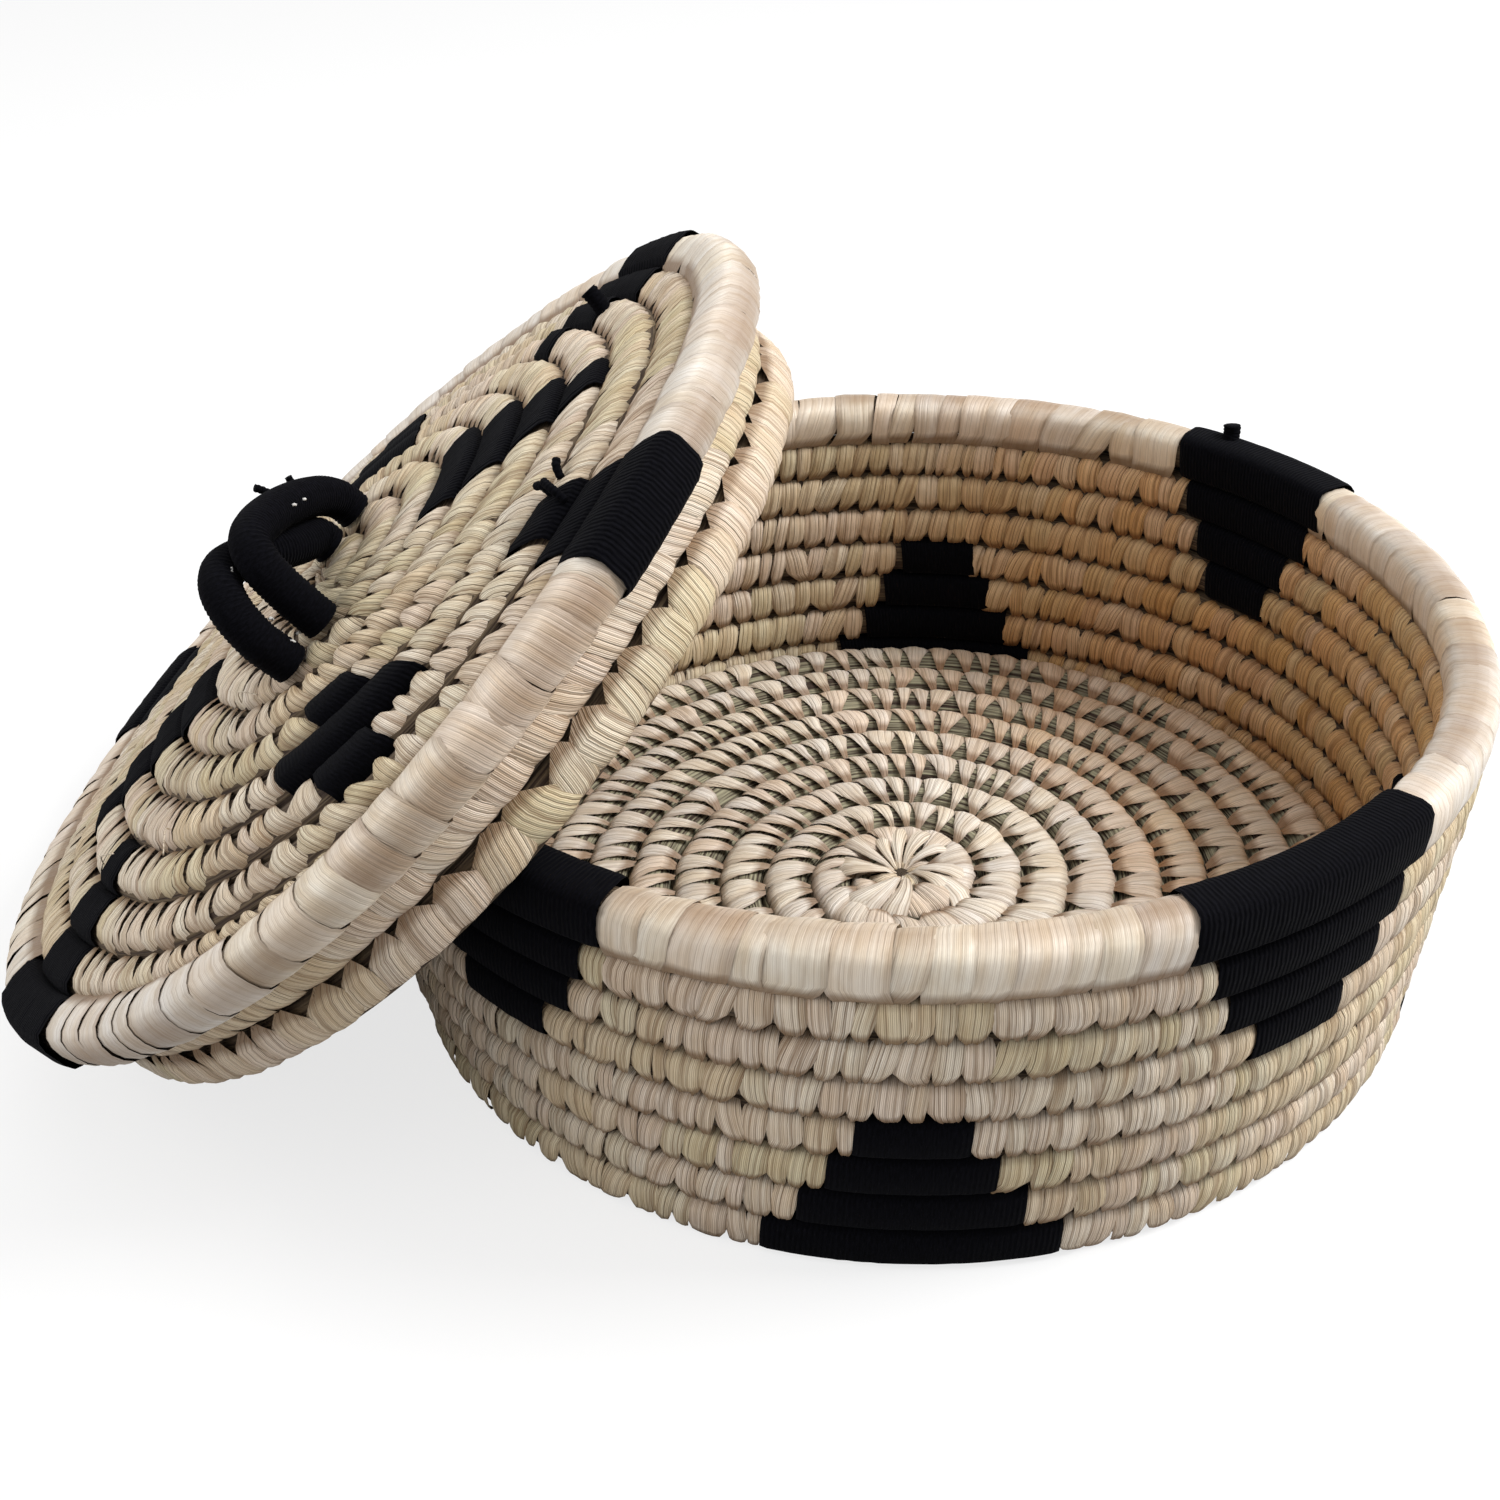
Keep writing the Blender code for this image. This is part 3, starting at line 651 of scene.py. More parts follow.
def patch_span(course, turn, place, half_width):
    """Middle and reach in angle of a yarn patch on one turn of a course."""
    start = sum(course.climb) * station_angle + turn * 2 * pi
    middle = start + (radians(place) - start) % (2 * pi)
    if not course.climb[1]:
        middle = radians(place) % (2 * pi)
    radius = float(course.place(np.array([middle]))[0][0])
    return middle, half_width / radius


def coil_spans(course, patches, first_turn, skipped=0):
    """Spans of patches that go down a coil turn by turn, without the skipped first rows."""
    return [patch_span(course, first_turn - index, place, half_width)
            for place, half_widths in patches.values()
            for index, half_width in enumerate(half_widths[skipped:])]


def course_spans(course, patches):
    """Spans of the patches' first rows on a closed course, also as counted a turn away."""
    spans = [patch_span(course, 0, place, half_widths[0])
             for place, half_widths in patches.values()]
    return [(middle + turn * 2 * pi, reach) for middle, reach in spans for turn in (-1, 0, 1)]


def yarn_sleeve(course, middle, reach, slant, pitch, rng, sides=14):
    """Yarn wound round one course: its points, and its layout for the material."""
    radius = float(course.place(np.array([middle]))[0][0])
    length = 2 * reach * radius
    turns = max(6, int(length / pitch / 1.5))
    along = np.linspace(-reach, reach, turns + 1)
    around = np.linspace(0, 2 * pi, sides + 1)
    edge = np.minimum(1, (reach - np.abs(along)) * radius / 0.0012)
    stand = yarn_growth * (0.35 + 0.65 * np.sqrt(np.clip(edge, 0, 1)))
    stand = stand[None, :] + rng.normal(0, 0.00005, (sides + 1, turns + 1))
    stand[-1] = stand[0]
    lean = slant / 2 * np.sin(around) / radius
    at = middle + along[None, :] + lean[:, None]
    flat = (np.cos(around)[:, None], np.sin(around)[:, None])
    across = (course.across + stand) * np.sign(flat[0]) * np.abs(flat[0]) ** 0.55
    away = (course.away + course_gap * 0.72) * np.sign(flat[1]) * np.abs(flat[1]) ** 0.5
    points = on_course(course, at, across, away + 0 * stand)
    return points, paired(along[None, :] * radius, around[:, None] * course.across)


def sleeve_mesh(name, sleeves):
    """One mesh from several wound sleeves, each closed round its course."""
    shape = bmesh.new()
    layouts, points = [], []
    for place, layout in sleeves:
        rows, columns = place.shape[:2]
        bmesh.ops.create_grid(shape, x_segments=columns - 1, y_segments=rows - 1, size=1)
        points.append(place.reshape(-1, 3))
        layouts.append(layout.reshape(-1, 2))
    mesh = mesh_from(shape, name)
    mesh.vertices.foreach_set("co", np.concatenate(points).astype(np.float32).ravel())
    paint_layout(mesh, np.concatenate(layouts), np.full(len(mesh.vertices), 0.5))
    return sealed(mesh, weld=0.00002)


def smooth_route(corners, count):
    """Points evenly along a smooth curve through the corners."""
    padded = [corners[0]] + list(corners) + [corners[-1]]
    points = []
    spans = len(corners) - 1
    for index in range(count):
        place_on_route = index * spans / (count - 1)
        span = min(int(place_on_route), spans - 1)
        t = place_on_route - span
        a, b, c, d = (Vector(padded[span + k]) for k in range(4))
        points.append(b + (c - a) * t / 2 + (2 * a - 5 * b + 4 * c - d) * t * t / 2
                      + (3 * b - a - 3 * c + d) * t * t * t / 2)
    return points


def above_crown(point):
    """A place over the lid, given across, along and above the top of the crown's yarn."""
    angle = np.arctan2(point.y, point.x)
    seat = float(crown_level(angle, sqrt(point.x ** 2 + point.y ** 2)))
    seat += spiral_height / 2 + yarn_growth + seat_gap
    return lid_frame() @ Vector((point.x, point.y, point.z + seat))


def wound_cord(name, route, radius, pitch, rib, sides=18, samples=4):
    """A cord with yarn wound round it: every turn of the yarn is a low rib."""
    length = sum((b - a).length for a, b in zip(route, route[1:]))
    count = int(length / pitch * samples)
    stops = np.array([tuple(point) for point in route])
    spacing = np.concatenate([[0], np.cumsum(np.linalg.norm(np.diff(stops, axis=0), axis=1))])
    at = np.linspace(0, spacing[-1], count + 1)
    middles = np.stack([np.interp(at, spacing, stops[:, k]) for k in range(3)], axis=-1)
    ahead = np.gradient(middles, axis=0)
    ahead /= np.linalg.norm(ahead, axis=1, keepdims=True)
    side = np.cross(ahead, np.array(lid_frame())[:3, 0])
    side /= np.linalg.norm(side, axis=1, keepdims=True)
    up = np.cross(side, ahead)
    around = np.linspace(0, 2 * pi, sides + 1)
    turn = at[None, :] / pitch * 2 * pi + around[:, None]
    reach = radius - rib + rib * np.abs(np.sin(turn / 2))
    points = (middles[None] + side[None] * (reach * np.cos(around)[:, None])[..., None]
              + up[None] * (reach * np.sin(around)[:, None])[..., None])
    layout = paired(at[None, :], around[:, None] * radius)
    return sealed(sleeve_mesh(name, [(points, layout)]), close=True)


def joined(name, parts):
    """One mesh from several of the same kind."""
    shape = bmesh.new()
    for part in parts:
        shape.from_mesh(part)
    return mesh_from(shape, name)


# Materials

def new_material(name):
    material = bpy.data.materials.new(name)
    material.use_nodes = True
    tree = material.node_tree
    return material, tree, tree.nodes["Principled BSDF"]


def add_node(tree, kind, **settings):
    node = tree.nodes.new(kind)
    for key, value in settings.items():
        setattr(node, key, value)
    return node


def stretched(tree, source, scale):
    """The leaf coordinates in metres, scaled by one factor across and another along."""
    mapping = add_node(tree, "ShaderNodeMapping")
    mapping.inputs["Scale"].default_value = (*scale, 1)
    tree.links.new(source, mapping.inputs["Vector"])
    return mapping.outputs["Vector"]


def mixed(tree, kind, factor, first, second):
    """Mix of two colours. factor and the colours are sockets or values."""
    node = add_node(tree, "ShaderNodeMix", data_type="RGBA", blend_type=kind)
    for socket, value in ((node.inputs[0], factor), (node.inputs[6], first),
                          (node.inputs[7], second)):
        if isinstance(value, bpy.types.NodeSocket):
            tree.links.new(value, socket)
        else:
            socket.default_value = value
    return node.outputs[2]


def ramp(tree, source, stops):
    node = add_node(tree, "ShaderNodeValToRGB")
    band = node.color_ramp
    while len(band.elements) < len(stops):
        band.elements.new(0.5)
    for element, (place, colour) in zip(band.elements, stops):
        element.position = place
        element.color = (*colour, 1) if len(colour) == 3 else colour
    tree.links.new(source, node.inputs["Fac"])
    return node.outputs["Color"]


def grey(value):
    return (value, value, value)


def noise(tree, source, scale, detail, roughness=0.5):
    node = add_node(tree, "ShaderNodeTexNoise", noise_dimensions="2D")
    node.inputs["Scale"].default_value = 1
    node.inputs["Detail"].default_value = detail
    node.inputs["Roughness"].default_value = roughness
    tree.links.new(stretched(tree, source, scale), node.inputs["Vector"])
    return node.outputs["Fac"]


def ridges(tree, source, pitch, along, distortion, detail_scale):
    """Ridges at a given pitch across the leaf coordinates."""
    node = add_node(tree, "ShaderNodeTexWave", wave_type="BANDS", bands_direction="X")
    node.inputs["Scale"].default_value = 1
    node.inputs["Distortion"].default_value = distortion
    node.inputs["Detail"].default_value = 2
    node.inputs["Detail Scale"].default_value = detail_scale
    scale = (2 * pi / 20 / pitch, along)
    tree.links.new(stretched(tree, source, scale), node.inputs["Vector"])
    return node.outputs["Fac"]


def bump(tree, height, distance, strength=1.0, under=None):
    """Normal of a relief, laid over the normal of another one."""
    node = add_node(tree, "ShaderNodeBump")
    node.inputs["Strength"].default_value = strength
    node.inputs["Distance"].default_value = distance
    tree.links.new(height, node.inputs["Height"])
    if under:
        tree.links.new(under, node.inputs["Normal"])
    return node.outputs["Normal"]


def leaf_material(name, palette, shade, amber, gloss, line_depth):
    """Palm leaf: a tone for each strip, fine lines along it, painted shade in its creases, ends and
    edges, and a soft waxy gloss.
    """
    material, tree, shader = new_material(name)
    links = tree.links
    leaf = add_node(tree, "ShaderNodeUVMap", uv_map="leaf").outputs["UV"]
    tone = add_node(tree, "ShaderNodeAttribute", attribute_name="tone").outputs["Fac"]
    stops = [(index / (len(palette) - 1), colour) for index, colour in enumerate(palette)]
    base = ramp(tree, tone, stops)
    lines = noise(tree, leaf, (3100, 30), 3, 0.65)
    folds = add_node(tree, "ShaderNodeTexVoronoi", voronoi_dimensions="2D",
                     feature="DISTANCE_TO_EDGE")
    folds.inputs["Scale"].default_value = 1
    links.new(stretched(tree, leaf, (620, 9)), folds.inputs["Vector"])
    blotches = noise(tree, leaf, (260, 90), 2)
    ribs = ridges(tree, leaf, leaf_rib_pitch, 25, 2.6, 1.4)
    ribbed = mixed(tree, "MULTIPLY", line_depth, base,
                   ramp(tree, ribs, [(0.02, (0.36, 0.24, 0.14)), (0.40, grey(1))]))
    streaked = mixed(tree, "MULTIPLY", line_depth * 0.8, ribbed,
                     ramp(tree, lines, [(0.30, (0.46, 0.33, 0.21)), (0.56, grey(1.12))]))
    blotched = mixed(tree, "MULTIPLY", 0.5, streaked,
                     ramp(tree, blotches, [(0.3, (0.80, 0.68, 0.52)), (0.7, grey(1.1))]))
    # Painted shade in the folds between the leaf's narrow strips
    crease = ramp(tree, folds.outputs["Distance"], [(0.0, grey(1)), (0.09, grey(0))])
    creased = mixed(tree, "MIX", crease, blotched,
                    mixed(tree, "MIX", line_depth, blotched, (*shade, 1)))
    # Painted shade where wraps tuck under and at strip edges
    tucked = add_node(tree, "ShaderNodeAttribute", attribute_name="tucked").outputs["Fac"]
    depth = ramp(tree, tucked, [(0.25, grey(0)), (0.95, grey(0.80))])
    shaded = mixed(tree, "MIX", depth, creased, (*shade, 1))
    # Warm painted shade at the right inside
    warm_shade_amount = add_node(tree, "ShaderNodeAttribute", attribute_name="amber").outputs["Fac"]
    links.new(mixed(tree, "MULTIPLY", warm_shade_amount, shaded, (*amber, 1)), shader.inputs["Base Color"])
    rough = ramp(tree, lines, [(0.2, grey(gloss + 0.2)), (0.8, grey(gloss))])
    links.new(rough, shader.inputs["Roughness"])
    fold_height = ramp(tree, folds.outputs["Distance"], [(0.0, grey(0)), (0.2, grey(1))])
    relief = bump(tree, lines, 0.00012, 0.55)
    relief = bump(tree, ribs, 0.00010, line_depth, relief)
    relief = bump(tree, fold_height, 0.0003, line_depth + 0.1, relief)
    links.new(relief, shader.inputs["Normal"])
    shader.inputs["Specular IOR Level"].default_value = 0.35
    return material


def grass_material(name, dark, light):
    """The grass bundle between the wraps: fine stalks along the course, mostly in shade."""
    material, tree, shader = new_material(name)
    leaf = add_node(tree, "ShaderNodeUVMap", uv_map="leaf").outputs["UV"]
    stalks = noise(tree, leaf, (1500, 45), 4)
    tree.links.new(ramp(tree, stalks, [(0.38, dark), (0.66, light)]), shader.inputs["Base Color"])
    tree.links.new(bump(tree, stalks, 0.0006), shader.inputs["Normal"])
    shader.inputs["Roughness"].default_value = 0.85
    return material


def yarn_material(name, colour, pitch):
    """Twisted yarn laid turn by turn: ridges across the course, with a faint fuzz."""
    material, tree, shader = new_material(name)
    links = tree.links
    leaf = add_node(tree, "ShaderNodeUVMap", uv_map="leaf").outputs["UV"]
    turns = ridges(tree, leaf, pitch, 120, 1.2, 0.8)
    fibres = noise(tree, leaf, (2600, 700), 4)
    lit = tuple(min(channel * 2.6, 0.8) for channel in colour)
    links.new(ramp(tree, fibres, [(0.35, colour), (0.75, lit)]), shader.inputs["Base Color"])
    relief = bump(tree, fibres, 0.0002, 0.5, bump(tree, turns, 0.0002))
    links.new(relief, shader.inputs["Normal"])
    shader.inputs["Roughness"].default_value = 0.9
    shader.inputs["Specular IOR Level"].default_value = 0.04
    shader.inputs["Sheen Weight"].default_value = 0.01
    shader.inputs["Sheen Roughness"].default_value = 0.5
    return material


def finish(name):
    """A material of the basket by name, made when it is first asked for."""
    if name in bpy.data.materials:
        return bpy.data.materials[name]
    colours = bpy.context.scene.basket_colours
    pitch = bpy.context.scene.basket_sizes.thread_pitch
    pale, straw, pink, green, rim, shade, amber = (
        tuple(getattr(colours, key)) for key in ("leaf_pale", "leaf_straw", "leaf_pink",
                                                 "leaf_green", "rim_leaf", "leaf_shade",
                                                 "leaf_amber_shade"))
    # Leaf: the tones of the strips, the gloss and how deep the lines along them are
    leaf = {"leaf_strips": ((straw, pink, pale, green, straw), 0.45, 0.62),
            "rim_strips": ((rim, pale, pink, rim), 0.34, 0.22),
            # The floor's palette is paler: partly the floor's pale leaf, partly painted light for
            # the dimly lit floor
            "floor_strips": ((rim, pale, rim, pink, rim), 0.45, 0.42)}
    # The wall and lid bundles take grass darkened as painted shade of their notches
    grass = {"grass_bundle": colours.grass_shaded, "floor_grass": colours.grass_pale}
    yarn = {"wound_yarn": colours.yarn_black, "white_thread": colours.thread_white}
    if name in leaf:
        palette, gloss, line_depth = leaf[name]
        return leaf_material(name, palette, shade, amber, gloss, line_depth)
    if name in grass:
        return grass_material(name, tuple(colours.grass_dark), tuple(grass[name]))
    return yarn_material(name, tuple(yarn[name]), pitch)


# The steps

def crown_last_turn():
    return spiral_turns(crown_outer_radius) - 1


def wall_spans(wall):
    return (coil_spans(wall, upper_patches, wall_courses - 1, skipped=1)
            + coil_spans(wall, lower_patches, len(lower_steps) - 1))


def crown_spans(crown):
    return (coil_spans(crown, outer_patches, crown_last_turn(), skipped=1)
            + coil_spans(crown, inner_patches, crown_last_turn() - inner_patch_first_course))


def dress_course(part, body, node, wraps, seed, leaf, patches=(), grass="grass_bundle"):
    """A course's grass bundle and its leaf wraps."""
    course = courses()[part]
    away = bundle_reach if course.climb[1] else bundle_share
    core = bundle(part + "_bundle", course, bundle_share, away)
    show(part + "_bundle", core, finish(grass), body, "palm_leaf", node)
    mesh = leaf_wraps(part + "_wraps", course, wraps, seed, patches)
    show(part + "_wraps", mesh, finish(leaf), body, "palm_leaf")


def folded_strips(name, matrix, rng, count, spread, uneven, reach, level, middle):
    """Leaf strips that run out from the middle of a spiral.

    reach and level follow each strip outwards. uneven is how unlike each other the strips are.
    """
    each = (count, 1, 1)
    angles = np.arange(count) * 2 * pi / count + rng.uniform(-0.12 - uneven, 0.12 + uneven, count)
    across = np.array(wrap_across)[None, :, None]
    half = 2 * pi / count * spread
    inwards = 1 - reach / reach.max()
    at = angles[:, None, None] + half * across + rng.uniform(0.2, 0.5, each) * inwards
    bow = 0.0006 * (1 - np.abs(across) ** 2.4) * rng.uniform(0.7, 1.5, each)
    radii = reach * (1 - uneven * rng.uniform(-0.5, 2, each)) + bow * (np.abs(level) < 0.003)
    heights = level + middle + bow + rng.uniform(-0.0003, 0.0003, each)
    points = placed(radii, at, heights, matrix)
    layout = paired(across * 0.0015 + rng.uniform(0, 9, each), np.linspace(0, 0.02, len(reach)))
    # Painted shade at the strips' edges
    edge = np.abs(across) ** 4 * 0.7
    mesh = strips_mesh(name, points, layout, run_tones(rng, count), tucked=edge)
    mesh.flip_normals()
    return mesh


def knot(name, body, node, course_name, outer_radius, middle, seed, folds=0):
    """The start knot of a spiral: a low button of folded strips, and folds over the first turns."""
    rng = np.random.default_rng(seed)
    course = courses()[course_name]
    radius = first_spiral_radius(outer_radius) - spiral_width / 2
    reach = np.array([0.04, 0.30, 0.62, 0.92, 1.06, 0.98, 0.6, 0.05]) * radius
    level = np.array([0.42, 0.66, 0.72, 0.46, 0.0, -0.5, -0.72, -0.6]) * spiral_height / 2
    mesh = folded_strips(name, course.frame, rng, 15, 0.62, 0, reach, level, middle)
    show(name, mesh, finish("leaf_strips"), body, "palm_leaf", node)
    if folds:
        reach = np.array([0.20, 0.60, 1.10, 1.60, 2.00, 2.25]) * radius
        level = np.array([0.55, 0.95, 1.14, 1.20, 1.08, 0.70]) * spiral_height / 2
        mesh = folded_strips(name + "_folds", course.frame, rng, folds, 0.40, 0.16, reach, level,
                             middle)
        show(name + "_folds", mesh, finish("floor_strips"), body, "palm_leaf")
    bead = bmesh.new()
    bmesh.ops.create_icosphere(bead, subdivisions=3, radius=radius * 0.93)
    bmesh.ops.scale(bead, verts=bead.verts, vec=(1, 1, spiral_height / 2 / radius * 0.72))
    bmesh.ops.translate(bead, verts=bead.verts, vec=(0, 0, middle))
    bmesh.ops.transform(bead, verts=bead.verts, matrix=course.frame)
    core = mesh_from(bead, name + "_core")
    core.uv_layers.new(name="leaf")
    show(name + "_core", core, finish("grass_bundle"), body, "palm_leaf")


def dress_patches(prefix, body, stack, patches, seed):
    """The wound yarn of stepped patches. stack has the course, turn and lean of each row."""
    rng = np.random.default_rng(seed)
    pitch = bpy.context.scene.basket_sizes.thread_pitch
    for side, (place, half_widths) in patches.items():
        sleeves = []
        for (course, turn, slant), half_width in zip(stack, half_widths):
            middle, reach = patch_span(course, turn, place, half_width)
            sleeves.append(yarn_sleeve(course, middle, reach, slant, pitch, rng))
        name = prefix + side
        mesh = sleeve_mesh(name + "_yarn", sleeves)
        show(name + "_yarn", mesh, finish("wound_yarn"), body, "black_yarn", name)


class BASKET_OT_floor(bpy.types.Operator):
    """Dress the basket's floor: its knot and its flat spiral"""
    bl_idname = "basket.floor"
    bl_label = "Floor"

    def execute(self, context):
        sizes = context.scene.basket_sizes
        wraps = Wraps(pitch=sizes.floor_wrap_pitch, bulge=sizes.wrap_bulge, front_slant=floor_lean,
                      back_slant=0.0022, overlap=0.00022, jitter=0.34,
                      shapes=("wedge", "crescent"), open_side=radians(90), amber_reach=1.2)
        dress_course("floor", "basket", "basket_floor_coil", wraps, 11, "floor_strips",
                     grass="floor_grass")
        knot("floor_knot_leaf", "basket", "basket_floor_knot", "floor", floor_outer_radius,
             spiral_height / 2, 12, folds=13)
        return {"FINISHED"}


class BASKET_OT_wall(bpy.types.Operator):
    """Dress the basket's wall"""
    bl_idname = "basket.wall"
    bl_label = "Wall"

    def execute(self, context):
        sizes = context.scene.basket_sizes
        wraps = Wraps(pitch=sizes.wall_wrap_pitch, bulge=sizes.wrap_bulge * 0.9,
                      front_slant=wall_lean, back_slant=0.0026, overlap=0.00014, jitter=0.44,
                      shapes=("pod", "pod"), amber_reach=0.1)
        dress_course("wall", "basket", "basket_wall_coil", wraps, 21, "leaf_strips",
                     wall_spans(courses()["wall"]))
        return {"FINISHED"}


class BASKET_OT_rim(bpy.types.Operator):
    """Dress the basket's rim with broad smooth wraps"""
    bl_idname = "basket.rim"
    bl_label = "Rim"

    def execute(self, context):
        sizes = context.scene.basket_sizes
        wraps = Wraps(pitch=sizes.rim_wrap_pitch, bulge=sizes.wrap_bulge * 0.40,
                      front_slant=rim_lean, back_slant=0.0030, overlap=0.00026, jitter=0.38,
                      shapes=("band", "band"), amber_reach=-0.8)
        spans = course_spans(courses()["rim"], upper_patches)
        dress_course("rim", "basket", "basket_rim_coil", wraps, 31, "rim_strips", spans)
        return {"FINISHED"}


class BASKET_OT_basket_yarn(bpy.types.Operator):
    """Wind the black yarn patches of the basket's rim and wall"""
    bl_idname = "basket.basket_yarn"
    bl_label = "Basket yarn"

    def execute(self, context):
        every = courses()
        wall, rim = every["wall"], every["rim"]
        upper = [(rim, 0, rim_lean)] + [(wall, wall_courses - 1 - index, wall_lean)
                                        for index in range(len(upper_steps) - 1)]
        lower = [(wall, turn, wall_lean) for turn in reversed(range(len(lower_steps)))]
        dress_patches("basket_upper_patch_", "basket", upper, upper_patches, 41)
        dress_patches("basket_lower_patch_", "basket", lower, lower_patches, 42)
        return {"FINISHED"}


class BASKET_OT_lid(bpy.types.Operator):
    """Dress the lid's crown, rim and ring"""
    bl_idname = "basket.lid"
    bl_label = "Lid"

    def execute(self, context):
        sizes = context.scene.basket_sizes
        every = courses()
        crown = Wraps(pitch=sizes.crown_wrap_pitch, bulge=sizes.wrap_bulge, front_slant=crown_lean,
                      back_slant=0.0010, overlap=0.00016, jitter=0.34,
                      shapes=("wedge", "crescent"), open_side=radians(-50))
        dress_course("crown", "lid", "lid_crown_coil", crown, 51, "leaf_strips",
                     crown_spans(every["crown"]))
        knot("lid_knot_leaf", "lid", "lid_start_knot", "crown", crown_outer_radius,
             float(crown_level(0.0, 0.0)), 52)
        rim = Wraps(pitch=sizes.rim_wrap_pitch, bulge=sizes.wrap_bulge * 0.45,
                    front_slant=lid_rim_lean, back_slant=0.0030, overlap=0.00030, jitter=0.38,
                    shapes=("band", "band"))
        spans = course_spans(every["lid_rim"], outer_patches)
        dress_course("lid_rim", "lid", "lid_rim_coil", rim, 53, "rim_strips", spans)
        ring = Wraps(pitch=sizes.ring_wrap_pitch, bulge=sizes.wrap_bulge * 1.3,
                     front_slant=ring_lean, back_slant=0.0020, overlap=0.00050, jitter=0.34,
                     shapes=("leaf", "leaf"), odd_turns=-0.35)
        dress_course("ring", "lid", "lid_ring_coil", ring, 54, "leaf_strips")
        return {"FINISHED"}


class BASKET_OT_lid_yarn(bpy.types.Operator):
    """Wind the black yarn patches of the lid"""
    bl_idname = "basket.lid_yarn"
    bl_label = "Lid yarn"

    def execute(self, context):
        every = courses()
        crown, rim = every["crown"], every["lid_rim"]
        last = crown_last_turn()
        outer = [(rim, 0, lid_rim_lean)] + [(crown, last - index, crown_lean)
                                            for index in range(3)]
        inner = [(crown, last - inner_patch_first_course - index, crown_lean)
                 for index in range(4)]
        dress_patches("lid_outer_patch_", "lid", outer, outer_patches, 61)
        dress_patches("lid_inner_patch_", "lid", inner, inner_patches, 62)
        return {"FINISHED"}


class BASKET_OT_handle(bpy.types.Operator):
    """Wind the handle's two cords"""
    bl_idname = "basket.handle"
    bl_label = "Handle"

    def execute(self, context):
        pitch = context.scene.basket_sizes.thread_pitch
        for name, corners in handle_routes.items():
            route = [above_crown(point) for point in smooth_route(corners, 120)]
            mesh = wound_cord(name + "_yarn", route, handle_cord_radius + cord_fuzz, pitch,
                              cord_rib)
            show(name + "_yarn", mesh, finish("wound_yarn"), "lid", "black_yarn", name)
        return {"FINISHED"}


class BASKET_OT_loose_ends(bpy.types.Operator):
    """Add the yarn's loose ends, the bits of white thread on the handle and stray fibres"""
    bl_idname = "basket.loose_ends"
    bl_label = "Loose ends"

    def execute(self, context):
        pitch = context.scene.basket_sizes.thread_pitch
        for kind, (thickness, ribs, material, slot, routes) in loose_ends.items():
            ends = []
            for corners in routes:
                route = [above_crown(point) for point in smooth_route(corners, 12)]
                ends.append(wound_cord(kind, route, thickness, pitch, thickness * ribs, sides=8))
            show(kind, joined(kind, ends), finish(material), "lid", slot)
        corners = [Vector(point) for point in rim_tail]
        tail = wound_cord("rim_tail", smooth_route(corners, 12), rim_tail_radius, pitch,
                          rim_tail_rib, sides=10)
        show("rim_tail", tail, finish("wound_yarn"), "basket", "black_yarn")
        return {"FINISHED"}


class BASKET_OT_studio(bpy.types.Operator):
    """Set up the camera, the ground, the lights and the background"""
    bl_idname = "basket.studio"
    bl_label = "Studio"

    def execute(self, context):
        scene = context.scene
        settings = scene.basket_studio
        scene.view_settings.view_transform = "Standard"
        eye = bpy.data.cameras.new("camera")
        eye.lens = camera_lens
        eye.sensor_width = camera_sensor
        camera = bpy.data.objects.new("camera", eye)
        scene.collection.objects.link(camera)
        camera.matrix_world = (Matrix.Translation(Vector(camera_place))
                               @ Matrix.Rotation(-camera_yaw, 4, "Z")
                               @ Matrix.Rotation(pi / 2 - camera_pitch, 4, "X")
                               @ Matrix.Rotation(camera_roll, 4, "Z"))
        scene.camera = camera
        ground_plane()
        for name, (size, place, target) in lamps.items():
            soft_light(name + "_light", getattr(settings, name + "_power"), size, place, target)
        room_light(settings.sky_strength)
        return {"FINISHED"}


def ground_plane():
    shape = bmesh.new()
    bmesh.ops.create_grid(shape, x_segments=8, y_segments=8, size=3)
    mesh = mesh_from(shape, "ground")
    ground = bpy.data.objects.new("ground", mesh)
    bpy.context.scene.collection.objects.link(ground)
    mesh.materials.append(ground_material())


def ground_material():
    """A pale floor. The camera sees it nearly white, with the object's soft shadow on it."""
    material, tree, shader = new_material("ground")
    colour = tuple(bpy.context.scene.basket_colours.ground)
    shader.inputs["Base Color"].default_value = (*colour, 1)
    shader.inputs["Roughness"].default_value = 0.9
    white = add_node(tree, "ShaderNodeBsdfDiffuse")
    white.inputs["Color"].default_value = (1, 1, 1, 1)
    glow = add_node(tree, "ShaderNodeEmission")
    glow.inputs["Strength"].default_value = 1.0
    seen = add_node(tree, "ShaderNodeMixShader")
    seen.inputs[0].default_value = 0.75
    tree.links.new(white.outputs["BSDF"], seen.inputs[1])
    tree.links.new(glow.outputs["Emission"], seen.inputs[2])
    sight = add_node(tree, "ShaderNodeLightPath")
    blend = add_node(tree, "ShaderNodeMixShader")
    tree.links.new(sight.outputs["Is Camera Ray"], blend.inputs[0])
    tree.links.new(shader.outputs["BSDF"], blend.inputs[1])
    tree.links.new(seen.outputs["Shader"], blend.inputs[2])
    tree.links.new(blend.outputs["Shader"], tree.nodes["Material Output"].inputs["Surface"])
    return material


def soft_light(name, power, size, place, target):
    light = bpy.data.lights.new(name, "AREA")
    light.shape = "SQUARE"
    light.size = size
    light.energy = power
    lamp = bpy.data.objects.new(name, light)
    bpy.context.scene.collection.objects.link(lamp)
    lamp.location = place
    aim = Vector(target) - Vector(place)
    lamp.rotation_euler = aim.to_track_quat("-Z", "Y").to_euler()


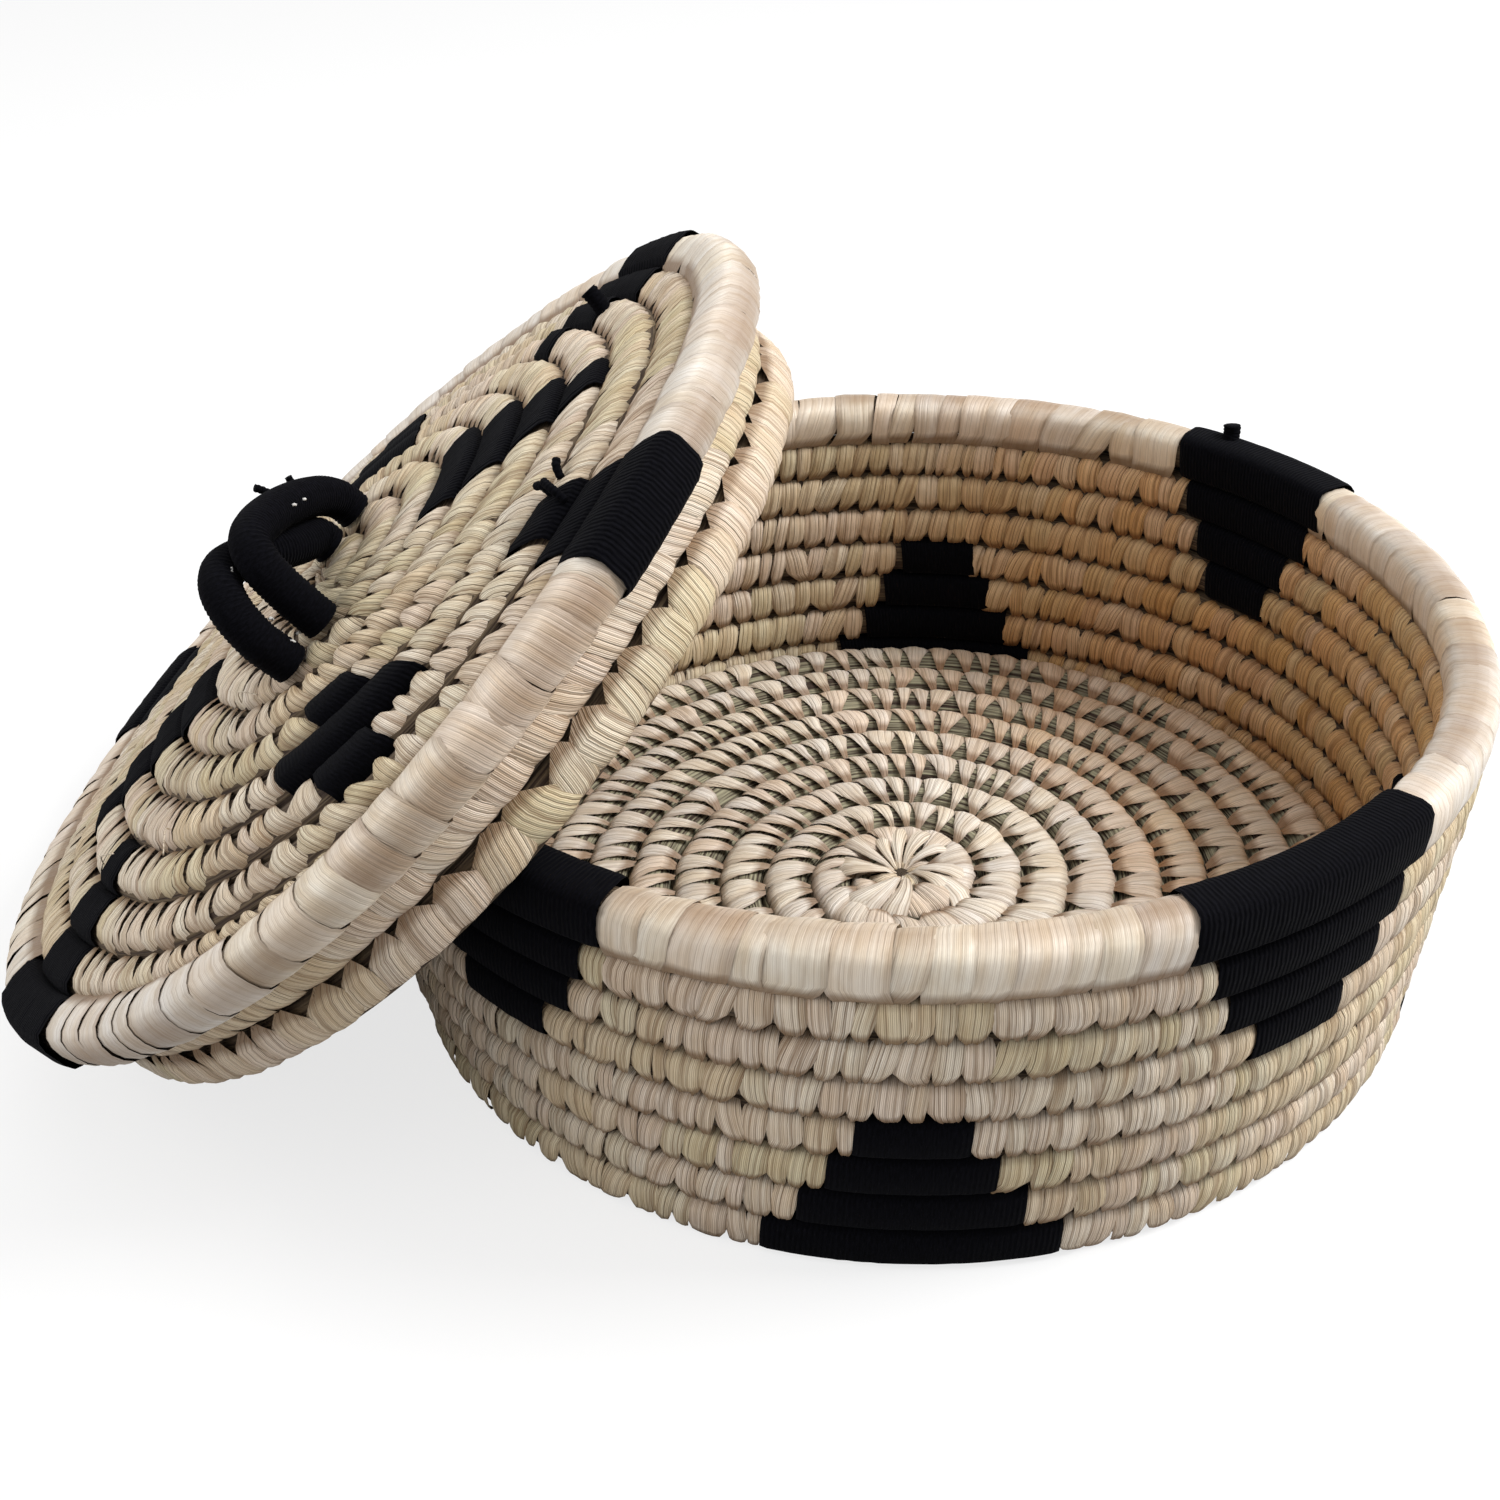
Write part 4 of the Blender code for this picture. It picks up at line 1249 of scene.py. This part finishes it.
def room_light(strength):
    world = bpy.data.worlds.new("room")
    world.use_nodes = True
    bpy.context.scene.world = world
    tree = world.node_tree
    even = tree.nodes["Background"]
    even.inputs["Color"].default_value = (1, 1, 1, 1)
    even.inputs["Strength"].default_value = strength
    white = add_node(tree, "ShaderNodeBackground")
    white.inputs["Strength"].default_value = 1
    sight = add_node(tree, "ShaderNodeLightPath")
    seen = add_node(tree, "ShaderNodeMath", operation="MAXIMUM")
    tree.links.new(sight.outputs["Is Camera Ray"], seen.inputs[0])
    tree.links.new(sight.outputs["Is Glossy Ray"], seen.inputs[1])
    blend = add_node(tree, "ShaderNodeMixShader")
    tree.links.new(seen.outputs["Value"], blend.inputs[0])
    tree.links.new(even.outputs["Background"], blend.inputs[1])
    tree.links.new(white.outputs["Background"], blend.inputs[2])
    tree.links.new(blend.outputs["Shader"], tree.nodes["World Output"].inputs["Surface"])


class BASKET_PT_steps(bpy.types.Panel):
    """The steps that dress the basket"""
    bl_label = "Coiled basket"
    bl_idname = "BASKET_PT_steps"
    bl_space_type = "VIEW_3D"
    bl_region_type = "UI"
    bl_category = "Basket"

    def draw(self, context):
        for step in steps:
            self.layout.operator(step.bl_idname)


steps = (BASKET_OT_studio, BASKET_OT_floor, BASKET_OT_wall, BASKET_OT_rim, BASKET_OT_basket_yarn,
         BASKET_OT_lid, BASKET_OT_lid_yarn, BASKET_OT_handle, BASKET_OT_loose_ends)
settings_groups = {"basket_sizes": BasketSizes, "basket_colours": BasketColours,
                   "basket_studio": StudioSettings}


def register():
    for group in (*settings_groups.values(), *steps, BASKET_PT_steps):
        bpy.utils.register_class(group)
    for name, group in settings_groups.items():
        setattr(bpy.types.Scene, name, bpy.props.PointerProperty(type=group))


def unregister():
    for name in settings_groups:
        delattr(bpy.types.Scene, name)
    for group in (BASKET_PT_steps, *reversed(steps), *settings_groups.values()):
        bpy.utils.unregister_class(group)


def main():
    register()
    for step in steps:
        family, action = step.bl_idname.split(".")
        getattr(getattr(bpy.ops, family), action)()


if __name__ == "__main__":
    main()
